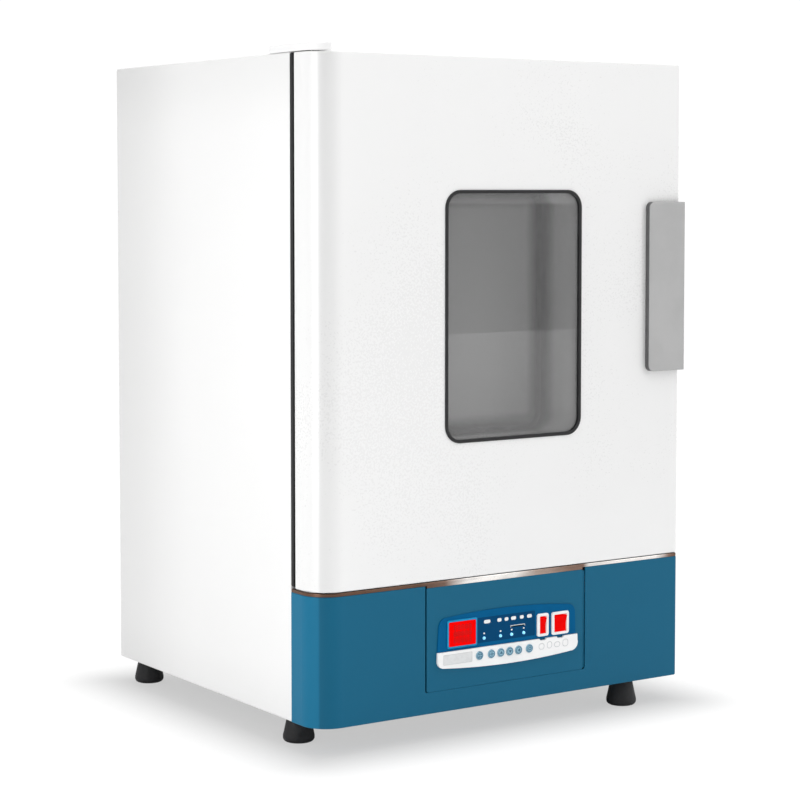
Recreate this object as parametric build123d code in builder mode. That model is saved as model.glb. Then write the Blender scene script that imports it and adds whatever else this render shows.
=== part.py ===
from build123d import *
import os

os.makedirs("parts", exist_ok=True)

# ---------------------------------------------------------------------------
# Bench hot air drying oven, about 60 litres, door hinged on the left.
# Millimetres. +Z up, the door faces -Y, origin on the floor in the middle of
# the object's box. Below, x is measured from the left side, y from the door's
# face going back, z from the underside of the body (the feet are below that).
# ---------------------------------------------------------------------------

# driving dimensions
WIDTH = 550.0          # cabinet, left side to right side
BODY_H = 791.0         # cabinet, without feet
DEPTH = 504.0          # door face to rear panel
FOOT_H = 33.0          # rubber feet
SHEET = 1.2            # painted sheet
LINER = 1.0            # stainless sheet

DOOR_T = 48.0          # door, face to back
GAP = 10.0             # door back to cabinet front, taken up by the seal
CAB_Y = DOOR_T + GAP   # cabinet's front edge
DOOR_Z0, DOOR_Z1 = 161.0, 790.0
PANEL_TOP = 156.0      # blue lower front panel
CORNER_R = 34.0        # rounded front left corner of door and lower panel

CH_X0, CH_X1 = 75.0, 475.0      # chamber, inside
CH_Z0, CH_Z1 = 253.0, 703.0
CH_BACK = 446.0
CH_R = 20.0
BAFFLE_Y = 396.0                # front of the air duct
FAN_X, FAN_Z = 275.0, 478.0

WIN_X, WIN_Z = 284.5, 477.7     # window, centre
WIN_W, WIN_H, WIN_R = 207.0, 305.0, 22.0
GASKET = 4.0                    # seen width of the window gasket
PLUG_BACK = 86.0                # back of the door's plug, inside the chamber mouth

HINGE_X, HINGE_Y = 12.0, 26.0   # door's pivot
PIN_D = 8.0
RUN = 0.05                      # radial running clearance

HANDLE_X0, HANDLE_X1 = 493.0, 552.0
HANDLE_Z0, HANDLE_Z1 = 399.0, 615.0
HANDLE_OUT = 8.0                # proud of the door's face
LIP = HANDLE_X1 - WIDTH         # past the door's right side

COVER = 46.0                    # motor cover and exhaust pipe behind the rear panel
EXH_X, EXH_Z, EXH_D = 275.0, 655.0, 50.0
DAMPER_Y = DEPTH + 12.0

KEY_X = [230.8, 248.7, 263.0, 276.6, 290.2, 306.9]
KEY_Z, KEY_D = 63.5, 10.4
LED_X = [238.9, 263.8, 280.8, 299.4]
LED_Z = 83.8
SMALL_SW = (328.5, 90.4, 17.8, 28.6)    # rocker switch bezels: x, z, width, height
LARGE_SW = (355.8, 90.0, 27.0, 28.6)
ROCK = 8.0                      # half the rocker's swing, degrees
ROCK_Y = 4.0                    # rocker's pivot behind the panel's face

SHELF_LEVELS = [310.0, 380.0, 450.0, 520.0, 590.0]
SHELF_UPPER, SHELF_LOWER = 450.0, 310.0

FEET = [(30.0, 91.0), (476.0, 23.0), (30.0, 480.0), (520.0, 480.0)]

# the model's own frame
X_L = -(WIDTH + LIP) / 2
Y_F = -(DEPTH + COVER - HANDLE_OUT) / 2
Z_B = FOOT_H


def X(v):
    return X_L + v


def Y(v):
    return Y_F + v


def Z(v):
    return Z_B + v


def at_y(y):
    """Upright plane facing the front; extrude by a negative amount to go back."""
    return Plane.XZ.offset(-Y(y))


def at_z(z):
    return Plane.XY.offset(Z(z))


def at_x(x):
    return Plane.YZ.offset(X(x))


def front_rect(x0, x1, z0, z1, r=0.0, mode=Mode.ADD):
    """Rectangle on an upright plane facing the front, given by its edges."""
    with Locations((X((x0 + x1) / 2), Z((z0 + z1) / 2))):
        if r > 0:
            RectangleRounded(x1 - x0, z1 - z0, r, mode=mode)
        else:
            Rectangle(x1 - x0, z1 - z0, mode=mode)


def plan_rect(x0, x1, y0, y1, r=0.0, mode=Mode.ADD):
    """Rectangle on a level plane, given by its edges."""
    with Locations((X((x0 + x1) / 2), Y((y0 + y1) / 2))):
        if r > 0:
            RectangleRounded(x1 - x0, y1 - y0, r, mode=mode)
        else:
            Rectangle(x1 - x0, y1 - y0, mode=mode)


def side_rect(y0, y1, z0, z1, r=0.0, mode=Mode.ADD):
    """Rectangle on an upright plane facing sideways, given by its edges."""
    with Locations((Y((y0 + y1) / 2), Z((z0 + z1) / 2))):
        if r > 0:
            RectangleRounded(y1 - y0, z1 - z0, r, mode=mode)
        else:
            Rectangle(y1 - y0, z1 - z0, mode=mode)


def front_outline(back, inset=0.0):
    """Plan of the door and of the lower panel: large radius at the front left."""
    x0, x1, y0 = X(inset), X(WIDTH - inset), Y(inset)
    r1, r2 = CORNER_R - inset, 5.0 - inset
    with BuildLine() as outline:
        Line((x0, Y(back)), (x0, y0 + r1))
        CenterArc((x0 + r1, y0 + r1), r1, 180, 90)
        Line((x0 + r1, y0), (x1 - r2, y0))
        CenterArc((x1 - r2, y0 + r2), r2, 270, 90)
        Line((x1, y0 + r2), (x1, Y(back)))
        Line((x1, Y(back)), (x0, Y(back)))
    make_face(outline.edges())


def write(part, label):
    part.label = label
    export_step(part, "parts/" + label + ".step")


# rear panel screws, as x, z
REAR_SCREWS = [(10.0, z) for z in (40.0, 215.0, 400.0, 585.0, 750.0)]
REAR_SCREWS += [(WIDTH - 10.0, z) for z in (40.0, 215.0, 400.0, 585.0, 750.0)]
REAR_SCREWS += [(150.0, BODY_H - 10.0), (400.0, BODY_H - 10.0)]

HEATER_LEGS = [(125.0, 382.0), (165.0, 382.0), (385.0, 382.0), (425.0, 382.0)]
PROBE = (395.0, 640.0)
INLET = (450.0, 70.0)

# ---------------------------------------------------------------------------
# Cabinet
# ---------------------------------------------------------------------------

# One painted sheet folded into left side, top and right side
with BuildPart() as outer_casing:
    with BuildSketch(at_y(CAB_Y)):
        front_rect(0, WIDTH, 0, BODY_H, r=3.0)
        front_rect(SHEET, WIDTH - SHEET, SHEET, BODY_H - SHEET, r=3.0 - SHEET, mode=Mode.SUBTRACT)
        front_rect(22, WIDTH - 22, -1, 6, mode=Mode.SUBTRACT)
    extrude(amount=-(DEPTH - CAB_Y))
    with BuildSketch(at_y(CAB_Y)):
        front_rect(0, WIDTH, 0, BODY_H, r=3.0)
        front_rect(22, WIDTH - 22, -1, BODY_H - 22, mode=Mode.SUBTRACT)
    extrude(amount=-SHEET)
    with BuildSketch(at_y(DEPTH - 2 * SHEET)):
        front_rect(0.6, WIDTH - 0.6, 0.6, BODY_H - 0.6, r=2.4)
        front_rect(20, WIDTH - 20, -1, BODY_H - 20, mode=Mode.SUBTRACT)
    extrude(amount=-SHEET)
    with BuildSketch(at_y(DEPTH - 4)):
        with Locations(*[(X(x), Z(z)) for x, z in REAR_SCREWS]):
            Circle(2.0)
    extrude(amount=-4, mode=Mode.SUBTRACT)
write(outer_casing.part, "outer_casing")

# Rear panel set inside the casing, with vent slots for the lower compartment
with BuildPart() as rear_panel:
    with BuildSketch(at_y(DEPTH - SHEET)):
        front_rect(SHEET + 0.3, WIDTH - SHEET - 0.3, 4, BODY_H - SHEET - 0.3, r=1.5)
        with Locations((X(FAN_X), Z(FAN_Z))):
            Circle(39.0, mode=Mode.SUBTRACT)
        with Locations((X(EXH_X), Z(EXH_Z))):
            Circle(EXH_D / 2, mode=Mode.SUBTRACT)
        with Locations(*[(X(x), Z(z)) for x, z in HEATER_LEGS]):
            Circle(7.5, mode=Mode.SUBTRACT)
        with Locations((X(INLET[0]), Z(INLET[1]))):
            RectangleRounded(27.6, 20.4, 2.0, mode=Mode.SUBTRACT)
        with Locations(*[(X(x), Z(z)) for x, z in REAR_SCREWS]):
            Circle(2.0, mode=Mode.SUBTRACT)
        with Locations((X(190.0), Z(90.0))):
            with GridLocations(80.0, 12.0, 3, 8):
                SlotOverall(62.0, 4.0, mode=Mode.SUBTRACT)
    extrude(amount=-SHEET)
write(rear_panel.part, "rear_panel")

# Floor of the lower compartment; its wings lie on the casing's bottom returns
with BuildPart() as base_pan:
    with BuildSketch(at_z(0)):
        plan_rect(22.4, WIDTH - 22.4, CAB_Y + 0.3, DEPTH - 3.2)
    extrude(amount=1.5)
    with BuildSketch(at_z(SHEET)):
        plan_rect(3.2, 26.0, CAB_Y + 3.0, DEPTH - 3.2)
        plan_rect(WIDTH - 26.0, WIDTH - 3.2, CAB_Y + 3.0, DEPTH - 3.2)
    extrude(amount=1.5)
    with BuildSketch(at_z(0)):
        plan_rect(26.5, WIDTH - 26.5, CAB_Y + 0.3, CAB_Y + 1.5)
    extrude(amount=14)
    with BuildSketch(at_z(-1)):
        with Locations(*[(X(x), Y(y)) for x, y in FEET if y > CAB_Y]):
            Circle(3.0)
    extrude(amount=6, mode=Mode.SUBTRACT)
write(base_pan.part, "base_pan")

# Partition between the chamber's insulation and the electronics
with BuildPart() as chamber_deck:
    with BuildSketch(at_z(178)):
        plan_rect(SHEET + 0.3, WIDTH - SHEET - 0.3, CAB_Y + 2 * SHEET + 0.2, DEPTH - 3.0)
    extrude(amount=SHEET)
    with BuildSketch(at_z(166)):
        plan_rect(SHEET + 0.3, SHEET + 1.5, CAB_Y + 6, DEPTH - 6)
        plan_rect(WIDTH - SHEET - 1.5, WIDTH - SHEET - 0.3, CAB_Y + 6, DEPTH - 6)
    extrude(amount=13)
write(chamber_deck.part, "chamber_deck")

# Sheet frame behind the casing's front return, round the chamber's mouth
with BuildPart() as front_frame:
    with BuildSketch(at_y(CAB_Y + SHEET)):
        front_rect(SHEET + 0.3, WIDTH - SHEET - 0.3, 160.0, BODY_H - SHEET - 0.3, r=3)
        front_rect(CH_X0 - LINER, CH_X1 + LINER, CH_Z0 - LINER, CH_Z1 + LINER, r=CH_R + LINER, mode=Mode.SUBTRACT)
    extrude(amount=-SHEET)
write(front_frame.part, "front_frame")

# Pressed stainless chamber with a flange lapped on the front frame
with BuildPart() as chamber_liner:
    with BuildSketch(at_y(CAB_Y)):
        front_rect(CH_X0 - LINER, CH_X1 + LINER, CH_Z0 - LINER, CH_Z1 + LINER, r=CH_R + LINER)
    extrude(amount=-(CH_BACK + LINER - CAB_Y))
    fillet(chamber_liner.faces().sort_by(Axis.Y)[-1].edges(), 13.0)
    with BuildSketch(at_y(CAB_Y)):
        front_rect(52, 498, 230, 726, r=30)
    extrude(amount=-SHEET)
    with BuildPart(mode=Mode.SUBTRACT):
        with BuildSketch(at_y(CAB_Y - 1)):
            front_rect(CH_X0, CH_X1, CH_Z0, CH_Z1, r=CH_R)
        extrude(amount=-(CH_BACK - CAB_Y + 1))
        fillet(faces().sort_by(Axis.Y)[-1].edges(), 12.0)
    with BuildSketch(at_y(CH_BACK - 2)):
        with Locations((X(FAN_X), Z(FAN_Z))):
            Circle(8.0)
        with Locations((X(EXH_X), Z(EXH_Z))):
            Circle(22.5)
        with Locations(*[(X(x), Z(z)) for x, z in HEATER_LEGS]):
            Circle(4.6)
        with Locations((X(PROBE[0]), Z(PROBE[1]))):
            Circle(2.6)
    extrude(amount=-6, mode=Mode.SUBTRACT)
write(chamber_liner.part, "chamber_liner")

# Mineral wool between chamber and casing
with BuildPart() as cabinet_insulation:
    with BuildSketch(at_y(CAB_Y + 4)):
        front_rect(3, WIDTH - 3, 182, BODY_H - 3)
    extrude(amount=-(DEPTH - 8.6 - CAB_Y - 4))
    with BuildSketch(at_y(CAB_Y)):
        front_rect(CH_X0 - LINER - 0.4, CH_X1 + LINER + 0.4, CH_Z0 - LINER - 0.4, CH_Z1 + LINER + 0.4, r=10)
    extrude(amount=-(CH_BACK + LINER + 0.4 - CAB_Y), mode=Mode.SUBTRACT)
    with BuildSketch(at_y(CH_BACK - 4)):
        with Locations((X(FAN_X), Z(FAN_Z))):
            Circle(12.0)
        with Locations((X(EXH_X), Z(EXH_Z))):
            Circle(EXH_D / 2 + 0.5)
        with Locations(*[(X(x), Z(z)) for x, z in HEATER_LEGS]):
            Circle(8.0)
        with Locations((X(PROBE[0]), Z(PROBE[1]))):
            Circle(8.0)
    extrude(amount=-80, mode=Mode.SUBTRACT)
    with BuildSketch(at_y(466)):
        with Locations((X(FAN_X), Z(FAN_Z))):
            Circle(42.0)
    extrude(amount=-50, mode=Mode.SUBTRACT)
write(cabinet_insulation.part, "cabinet_insulation")

# ---------------------------------------------------------------------------
# Air path: duct, fan, motor, heaters, exhaust, probe
# ---------------------------------------------------------------------------

# Stainless duct cover: round perforated intake in front of the fan, slots at the sides
with BuildPart() as air_baffle:
    with BuildSketch(at_y(BAFFLE_Y)):
        front_rect(95, 455, 264, 692, r=6)
    extrude(amount=-(CH_BACK - 0.3 - BAFFLE_Y))
    with BuildSketch(at_y(BAFFLE_Y + LINER)):
        front_rect(95 + LINER, 455 - LINER, 264 + LINER, 692 - LINER, r=5)
    extrude(amount=-60, mode=Mode.SUBTRACT)
    with BuildSketch(at_y(BAFFLE_Y - 1)):
        with Locations((X(FAN_X), Z(FAN_Z))):
            Circle(5.0)
            for ring, count in ((17.0, 6), (34.0, 12), (51.0, 18), (67.0, 24)):
                with PolarLocations(ring, count):
                    Circle(5.0)
        with Locations((X(PROBE[0]), Z(PROBE[1]))):
            Circle(3.6)
    extrude(amount=-4, mode=Mode.SUBTRACT)
    with BuildSketch(at_x(90)):
        with Locations((Y(421), Z(478))):
            with GridLocations(20.0, 42.0, 1, 10):
                SlotOverall(30.0, 7.0)
    extrude(amount=370, mode=Mode.SUBTRACT)
write(air_baffle.part, "air_baffle")

# Centrifugal fan wheel
with BuildPart() as fan_impeller:
    with BuildSketch(at_y(426.5)):
        with Locations((X(FAN_X), Z(FAN_Z))):
            Circle(75.0)
    extrude(amount=-1.5)
    with BuildSketch(at_y(412)):
        with Locations((X(FAN_X), Z(FAN_Z))):
            Circle(11.0)
    extrude(amount=-16)
    with BuildSketch(at_y(402.5)):
        with Locations((X(FAN_X), Z(FAN_Z))):
            with PolarLocations(54.0, 12):
                with Locations(Location((0, 0, 0), (0, 0, 24))):
                    Rectangle(38.0, 1.5)
    extrude(amount=-24.5)
    with BuildSketch(at_y(401.3)):
        with Locations((X(FAN_X), Z(FAN_Z))):
            Circle(75.0)
            Circle(62.0, mode=Mode.SUBTRACT)
    extrude(amount=-1.5)
    with BuildSketch(at_y(400)):
        with Locations((X(FAN_X), Z(FAN_Z))):
            Circle(PIN_D / 2)
    extrude(amount=-40, mode=Mode.SUBTRACT)
write(fan_impeller.part, "fan_impeller")

with BuildPart() as fan_shaft:
    with BuildSketch(at_y(409)):
        with Locations((X(FAN_X), Z(FAN_Z))):
            Circle(PIN_D / 2)
    extrude(amount=-(524 - 409))
    chamfer(fan_shaft.edges().filter_by(GeomType.CIRCLE), 0.6)
write(fan_shaft.part, "fan_shaft")

# Motor on its flange, sunk into the insulation through the rear panel
with BuildPart() as fan_motor:
    with BuildSketch(at_y(480)):
        with Locations((X(FAN_X), Z(FAN_Z))):
            Circle(36.0)
    extrude(amount=-58)
    fillet(fan_motor.edges().filter_by(GeomType.CIRCLE), 4.0)
    with BuildSketch(at_y(471)):
        with Locations((X(FAN_X), Z(FAN_Z))):
            Circle(10.0)
    extrude(amount=-73)
    with BuildSketch(at_y(DEPTH)):
        with Locations((X(FAN_X), Z(FAN_Z))):
            RectangleRounded(104.0, 104.0, 8.0)
            with GridLocations(84.0, 84.0, 2, 2):
                Circle(2.5, mode=Mode.SUBTRACT)
    extrude(amount=-2)
    with BuildSketch(at_y(470)):
        with Locations((X(FAN_X), Z(FAN_Z))):
            Circle(PIN_D / 2 + RUN)
    extrude(amount=-(526 - 470), mode=Mode.SUBTRACT)
write(fan_motor.part, "fan_motor")

# Vented cover over the motor and the heater ends
with BuildPart() as motor_cover:
    with BuildSketch(at_y(DEPTH)):
        front_rect(105, 445, 366, 590, r=12)
    extrude(amount=-COVER)
    fillet(motor_cover.faces().sort_by(Axis.Y)[-1].edges(), 6.0)
    with BuildSketch(at_y(DEPTH - 1)):
        front_rect(105 + SHEET, 445 - SHEET, 366 + SHEET, 590 - SHEET, r=10)
    extrude(amount=-(COVER - SHEET - 4 + 1), mode=Mode.SUBTRACT)
    with BuildSketch(at_y(DEPTH + COVER - 6)):
        front_rect(112, 438, 373, 583, r=8)
    extrude(amount=-(6 - SHEET), mode=Mode.SUBTRACT)
    with BuildSketch(at_y(DEPTH)):
        front_rect(93, 457, 366 + 30, 590 - 30, r=6)
        front_rect(105 + SHEET, 445 - SHEET, 366 + SHEET, 590 - SHEET, r=10, mode=Mode.SUBTRACT)
        with Locations(*[(X(x), Z(z)) for x in (99.0, 451.0) for z in (415.0, 541.0)]):
            Circle(2.0, mode=Mode.SUBTRACT)
    extrude(amount=-SHEET)
    with BuildSketch(at_y(DEPTH + COVER - 3)):
        with Locations((X(FAN_X), Z(FAN_Z))):
            with GridLocations(96.0, 13.0, 3, 12):
                SlotOverall(74.0, 4.5)
    extrude(amount=-6, mode=Mode.SUBTRACT)
    with BuildSketch(at_z(360)):
        with Locations((X(FAN_X), Y(DEPTH + 22))):
            with GridLocations(22.0, 20.0, 12, 1):
                SlotOverall(26.0, 5.0, rotation=90)
    extrude(amount=240, mode=Mode.SUBTRACT)
write(motor_cover.part, "motor_cover")

# Two tubular hairpin heaters, their ends through the rear wall
with BuildPart() as heater_elements:
    for xa, xb in ((125.0, 165.0), (425.0, 385.0)):
        with BuildLine():
            FilletPolyline(
                (X(xa), Y(522), Z(382)),
                (X(xa), Y(421), Z(382)),
                (X(xa), Y(421), Z(625)),
                (X(xb), Y(421), Z(625)),
                (X(xb), Y(421), Z(382)),
                (X(xb), Y(522), Z(382)),
                radius=18.0,
            )
        with BuildSketch(at_y(522)):
            with Locations((X(xa), Z(382))):
                Circle(4.0)
        sweep()
    with BuildSketch(at_y(498)):
        with Locations(*[(X(x), Z(z)) for x, z in HEATER_LEGS]):
            Circle(7.0)
    extrude(amount=-16)
write(heater_elements.part, "heater_elements")

# Pipe from the duct through the rear wall, with a square flange on the rear panel
with BuildPart() as exhaust_pipe:
    with BuildSketch(at_y(CH_BACK + LINER)):
        with Locations((X(EXH_X), Z(EXH_Z))):
            Circle(EXH_D / 2)
    extrude(amount=-(DEPTH + COVER - CH_BACK - LINER))
    with BuildSketch(at_y(DEPTH)):
        with Locations((X(EXH_X), Z(EXH_Z))):
            RectangleRounded(84.0, 84.0, 6.0)
            with GridLocations(68.0, 68.0, 2, 2):
                Circle(2.0, mode=Mode.SUBTRACT)
    extrude(amount=-1.5)
    with BuildSketch(at_y(DEPTH + 1.5)):
        with Locations((X(EXH_X), Z(EXH_Z))):
            Circle(EXH_D / 2 + 2.0)
    extrude(amount=-17.5)
    with BuildSketch(at_y(CH_BACK)):
        with Locations((X(EXH_X), Z(EXH_Z))):
            Circle(EXH_D / 2 - 1.5)
    extrude(amount=-150, mode=Mode.SUBTRACT)
    with BuildSketch(at_x(EXH_X - 40)):
        with Locations((Y(DAMPER_Y), Z(EXH_Z))):
            Circle(2.5 + RUN)
    extrude(amount=80, mode=Mode.SUBTRACT)
write(exhaust_pipe.part, "exhaust_pipe")

# Butterfly with its shaft and knob, drawn shut
with BuildPart() as exhaust_damper:
    with BuildSketch(at_x(EXH_X - 28)):
        with Locations((Y(DAMPER_Y), Z(EXH_Z))):
            Circle(2.5)
    extrude(amount=28 + 38)
    with BuildSketch(at_y(DAMPER_Y - 0.75)):
        with Locations((X(EXH_X), Z(EXH_Z))):
            Circle(22.8)
    extrude(amount=-1.5)
    with BuildSketch(at_x(EXH_X + 28)):
        with Locations((Y(DAMPER_Y), Z(EXH_Z))):
            Circle(7.5)
    extrude(amount=10)
    fillet(exhaust_damper.edges().group_by(Axis.X)[-1], 1.0)
    with BuildSketch(at_x(EXH_X + 33)):
        with Locations((Y(DAMPER_Y), Z(EXH_Z + 9))):
            Rectangle(3.0, 14.0)
    extrude(amount=4)
write(exhaust_damper.part, "exhaust_damper")

with BuildPart() as temperature_probe:
    with BuildSketch(at_y(350)):
        with Locations((X(PROBE[0]), Z(PROBE[1]))):
            Circle(2.5)
    extrude(amount=-146)
    fillet(temperature_probe.edges().group_by(Axis.Y)[0], 2.0)
    with BuildSketch(at_y(CH_BACK + LINER)):
        with Locations((X(PROBE[0]), Z(PROBE[1]))):
            RegularPolygon(6.5, 6)
    extrude(amount=-7)
write(temperature_probe.part, "temperature_probe")

# ---------------------------------------------------------------------------
# Shelves and their carriers
# ---------------------------------------------------------------------------

with BuildPart() as shelf_rails:
    for side in (0, 1):
        def sx(v, side=side):
            return CH_X0 + v if side == 0 else CH_X1 - v
        lo, hi = sorted((sx(0), sx(2)))
        with BuildSketch(at_z(292)):
            plan_rect(lo, hi, 110, 128)
            plan_rect(lo, hi, 330, 348)
        extrude(amount=350)
        lo, hi = sorted((sx(2), sx(3.5)))
        la, lb = sorted((sx(2), sx(15)))
        for level in SHELF_LEVELS:
            with BuildSketch(at_z(level)):
                plan_rect(lo, hi, 98, 376)
            extrude(amount=11)
            with BuildSketch(at_z(level)):
                plan_rect(la, lb, 98, 376)
            extrude(amount=1.5)
            with BuildSketch(at_z(level)):
                plan_rect(la, lb, 374.5, 376)
            extrude(amount=9)
write(shelf_rails.part, "shelf_rails")


# Welded wire shelves: a frame of 5 mm rod, two stays and 23 wires
for level, name in ((SHELF_UPPER, "wire_shelf_upper"), (SHELF_LOWER, "wire_shelf_lower")):
    rod_z = Z(level) + 1.5 + 0.3 + 2.5
    x0, x1, y0, y1 = X(83.0), X(467.0), Y(103.0), Y(368.0)
    xm = (x0 + x1) / 2
    with BuildPart() as shelf:
        with BuildLine():
            FilletPolyline((xm, y0, rod_z), (x1, y0, rod_z), (x1, y1, rod_z), (xm, y1, rod_z), radius=9.0)
        with BuildSketch(Plane.YZ.offset(xm)):
            with Locations((y0, rod_z)):
                Circle(2.5)
        sweep()
        mirror(about=Plane.YZ.offset(xm))
        with BuildSketch(Plane.YZ.offset(x0)):
            with Locations((Y(190), rod_z), (Y(281), rod_z)):
                Circle(2.0)
        extrude(amount=x1 - x0)
        with BuildSketch(Plane.XZ.offset(-y0)):
            with Locations((xm, rod_z + 1.0)):
                with GridLocations(16.0, 10.0, 23, 1):
                    Circle(1.5)
        extrude(amount=-(y1 - y0))
    write(shelf.part, name)

# ---------------------------------------------------------------------------
# Door
# ---------------------------------------------------------------------------

# Painted door pan: face, sides, top and bottom, open at the back
with BuildPart() as door_skin:
    with BuildSketch(at_z(DOOR_Z0)):
        front_outline(DOOR_T)
    extrude(amount=DOOR_Z1 - DOOR_Z0)
    ends = door_skin.faces().filter_by(Axis.Z)
    fillet(ends.edges().filter_by(lambda e: e.center().Y < Y(DOOR_T) - 1), 1.6)
    with BuildSketch(at_z(DOOR_Z0 + SHEET)):
        front_outline(DOOR_T + 1, inset=SHEET)
    extrude(amount=DOOR_Z1 - DOOR_Z0 - 2 * SHEET, mode=Mode.SUBTRACT)
    with BuildSketch(at_y(-1)):
        with Locations((X(WIN_X), Z(WIN_Z))):
            RectangleRounded(WIN_W, WIN_H, WIN_R)
    extrude(amount=-5, mode=Mode.SUBTRACT)
    # pocket for the fingers behind the handle, open to the front and to the right
    with BuildSketch(at_z(407)):
        plan_rect(510, WIDTH + 2, -1, 38)
    extrude(amount=200, mode=Mode.SUBTRACT)
    with BuildSketch(at_z(DOOR_Z0 - 2)):
        with Locations((X(HINGE_X), Y(HINGE_Y))):
            Circle(7.0)
    extrude(amount=DOOR_Z1 - DOOR_Z0 + 4, mode=Mode.SUBTRACT)
    with BuildSketch(at_y(-1)):
        with Locations(*[(X(501), Z(z)) for z in (425.0, 507.0, 589.0)]):
            Circle(2.0)
    extrude(amount=-5, mode=Mode.SUBTRACT)
write(door_skin.part, "door_skin")

# Moulded black cup lining the finger pocket
with BuildPart() as handle_cup:
    with BuildSketch(at_z(407)):
        plan_rect(510, WIDTH, 0, 38)
    extrude(amount=200)
    with BuildSketch(at_z(409)):
        plan_rect(512, WIDTH + 2, -2, 36)
    extrude(amount=196, mode=Mode.SUBTRACT)
write(handle_cup.part, "handle_cup")

# Handle plate: rounded at its left, square at its right where the fingers go behind it
with BuildPart() as door_handle:
    with BuildSketch(at_y(-HANDLE_OUT)):
        front_rect(HANDLE_X0, HANDLE_X1, HANDLE_Z0, HANDLE_Z1, r=8)
        front_rect(HANDLE_X1 - 12, HANDLE_X1, HANDLE_Z0, HANDLE_Z1)
    extrude(amount=-HANDLE_OUT)
    front = door_handle.faces().sort_by(Axis.Y)[0]
    fillet(front.edges(), 1.4)
    with BuildSketch(at_z(409)):
        plan_rect(514, WIDTH + 5, -3, 1)
    extrude(amount=196, mode=Mode.SUBTRACT)
    with BuildSketch(at_y(-3)):
        with Locations(*[(X(501), Z(z)) for z in (425.0, 507.0, 589.0)]):
            Circle(2.0)
    extrude(amount=-5, mode=Mode.SUBTRACT)
write(door_handle.part, "door_handle")

# Stainless back of the door, with the plug that enters the chamber's mouth
with BuildPart() as door_inner_panel:
    with BuildSketch(at_y(DOOR_T - LINER)):
        front_rect(SHEET + 0.2, WIDTH - SHEET - 0.2, DOOR_Z0 + SHEET + 0.2, DOOR_Z1 - SHEET - 0.2)
    extrude(amount=-LINER)
    with BuildSketch(at_y(DOOR_T - 10)):
        front_rect(SHEET + 0.2, WIDTH - SHEET - 0.2, DOOR_Z0 + SHEET + 0.2, DOOR_Z1 - SHEET - 0.2)
        front_rect(SHEET + 1.2, WIDTH - SHEET - 1.2, DOOR_Z0 + SHEET + 1.2, DOOR_Z1 - SHEET - 1.2, mode=Mode.SUBTRACT)
    extrude(amount=-10)
    with BuildSketch(at_y(DOOR_T - LINER)):
        front_rect(83, 467, 261, 695, r=14)
    extrude(amount=-(PLUG_BACK - DOOR_T + LINER))
    fillet(door_inner_panel.faces().sort_by(Axis.Y)[-1].edges(), 4.0)
    with BuildPart(mode=Mode.SUBTRACT):
        with BuildSketch(at_y(DOOR_T - 12)):
            front_rect(83 + LINER, 467 - LINER, 261 + LINER, 695 - LINER, r=13)
        extrude(amount=-(PLUG_BACK - LINER - DOOR_T + 12))
        fillet(faces().sort_by(Axis.Y)[-1].edges(), 3.0)
    with BuildSketch(at_y(PLUG_BACK - 3)):
        with Locations((X(WIN_X), Z(WIN_Z))):
            RectangleRounded(WIN_W - 4, WIN_H - 4, WIN_R - 2)
    extrude(amount=-6, mode=Mode.SUBTRACT)
    with BuildSketch(at_y(DOOR_T - 12)):
        with Locations(*[(X(x), Z(z)) for x in (30.0, 520.0) for z in (200.0, 390.0, 570.0, 755.0)]):
            Circle(2.0)
    extrude(amount=-14, mode=Mode.SUBTRACT)
write(door_inner_panel.part, "door_inner_panel")

# Mineral wool in the door, round the window
with BuildPart() as door_insulation:
    with BuildSketch(at_y(9)):
        front_rect(36, 498, 196, 760)
        with Locations((X(WIN_X), Z(WIN_Z))):
            RectangleRounded(WIN_W + 22, WIN_H + 22, WIN_R + 8, mode=Mode.SUBTRACT)
    extrude(amount=-(DOOR_T - 11.5 - 9))
    with BuildSketch(at_y(9)):
        front_rect(86, 464, 264, 692, r=14)
        with Locations((X(WIN_X), Z(WIN_Z))):
            RectangleRounded(WIN_W + 22, WIN_H + 22, WIN_R + 8, mode=Mode.SUBTRACT)
    extrude(amount=-(PLUG_BACK - 3 - 9))
write(door_insulation.part, "door_insulation")

# Stainless reveal between the two panes
with BuildPart() as window_tunnel:
    with BuildSketch(at_y(6.6)):
        with Locations((X(WIN_X), Z(WIN_Z))):
            RectangleRounded(WIN_W + 2, WIN_H + 2, WIN_R + 1)
            RectangleRounded(WIN_W, WIN_H, WIN_R, mode=Mode.SUBTRACT)
    extrude(amount=-(PLUG_BACK - 5 - 6.6))
    with BuildSketch(at_y(6.6)):
        with Locations((X(WIN_X), Z(WIN_Z))):
            RectangleRounded(WIN_W + 16, WIN_H + 16, WIN_R + 4)
            RectangleRounded(WIN_W, WIN_H, WIN_R, mode=Mode.SUBTRACT)
    extrude(amount=-LINER)
write(window_tunnel.part, "window_tunnel")

with BuildPart() as outer_glass:
    with BuildSketch(at_y(2.6)):
        with Locations((X(WIN_X), Z(WIN_Z))):
            RectangleRounded(WIN_W + 12, WIN_H + 12, WIN_R)
    extrude(amount=-4)
write(outer_glass.part, "outer_glass")

with BuildPart() as inner_glass:
    with BuildSketch(at_y(PLUG_BACK - LINER - 4)):
        with Locations((X(WIN_X), Z(WIN_Z))):
            RectangleRounded(WIN_W + 14, WIN_H + 14, WIN_R)
    extrude(amount=-4)
write(inner_glass.part, "inner_glass")

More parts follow.
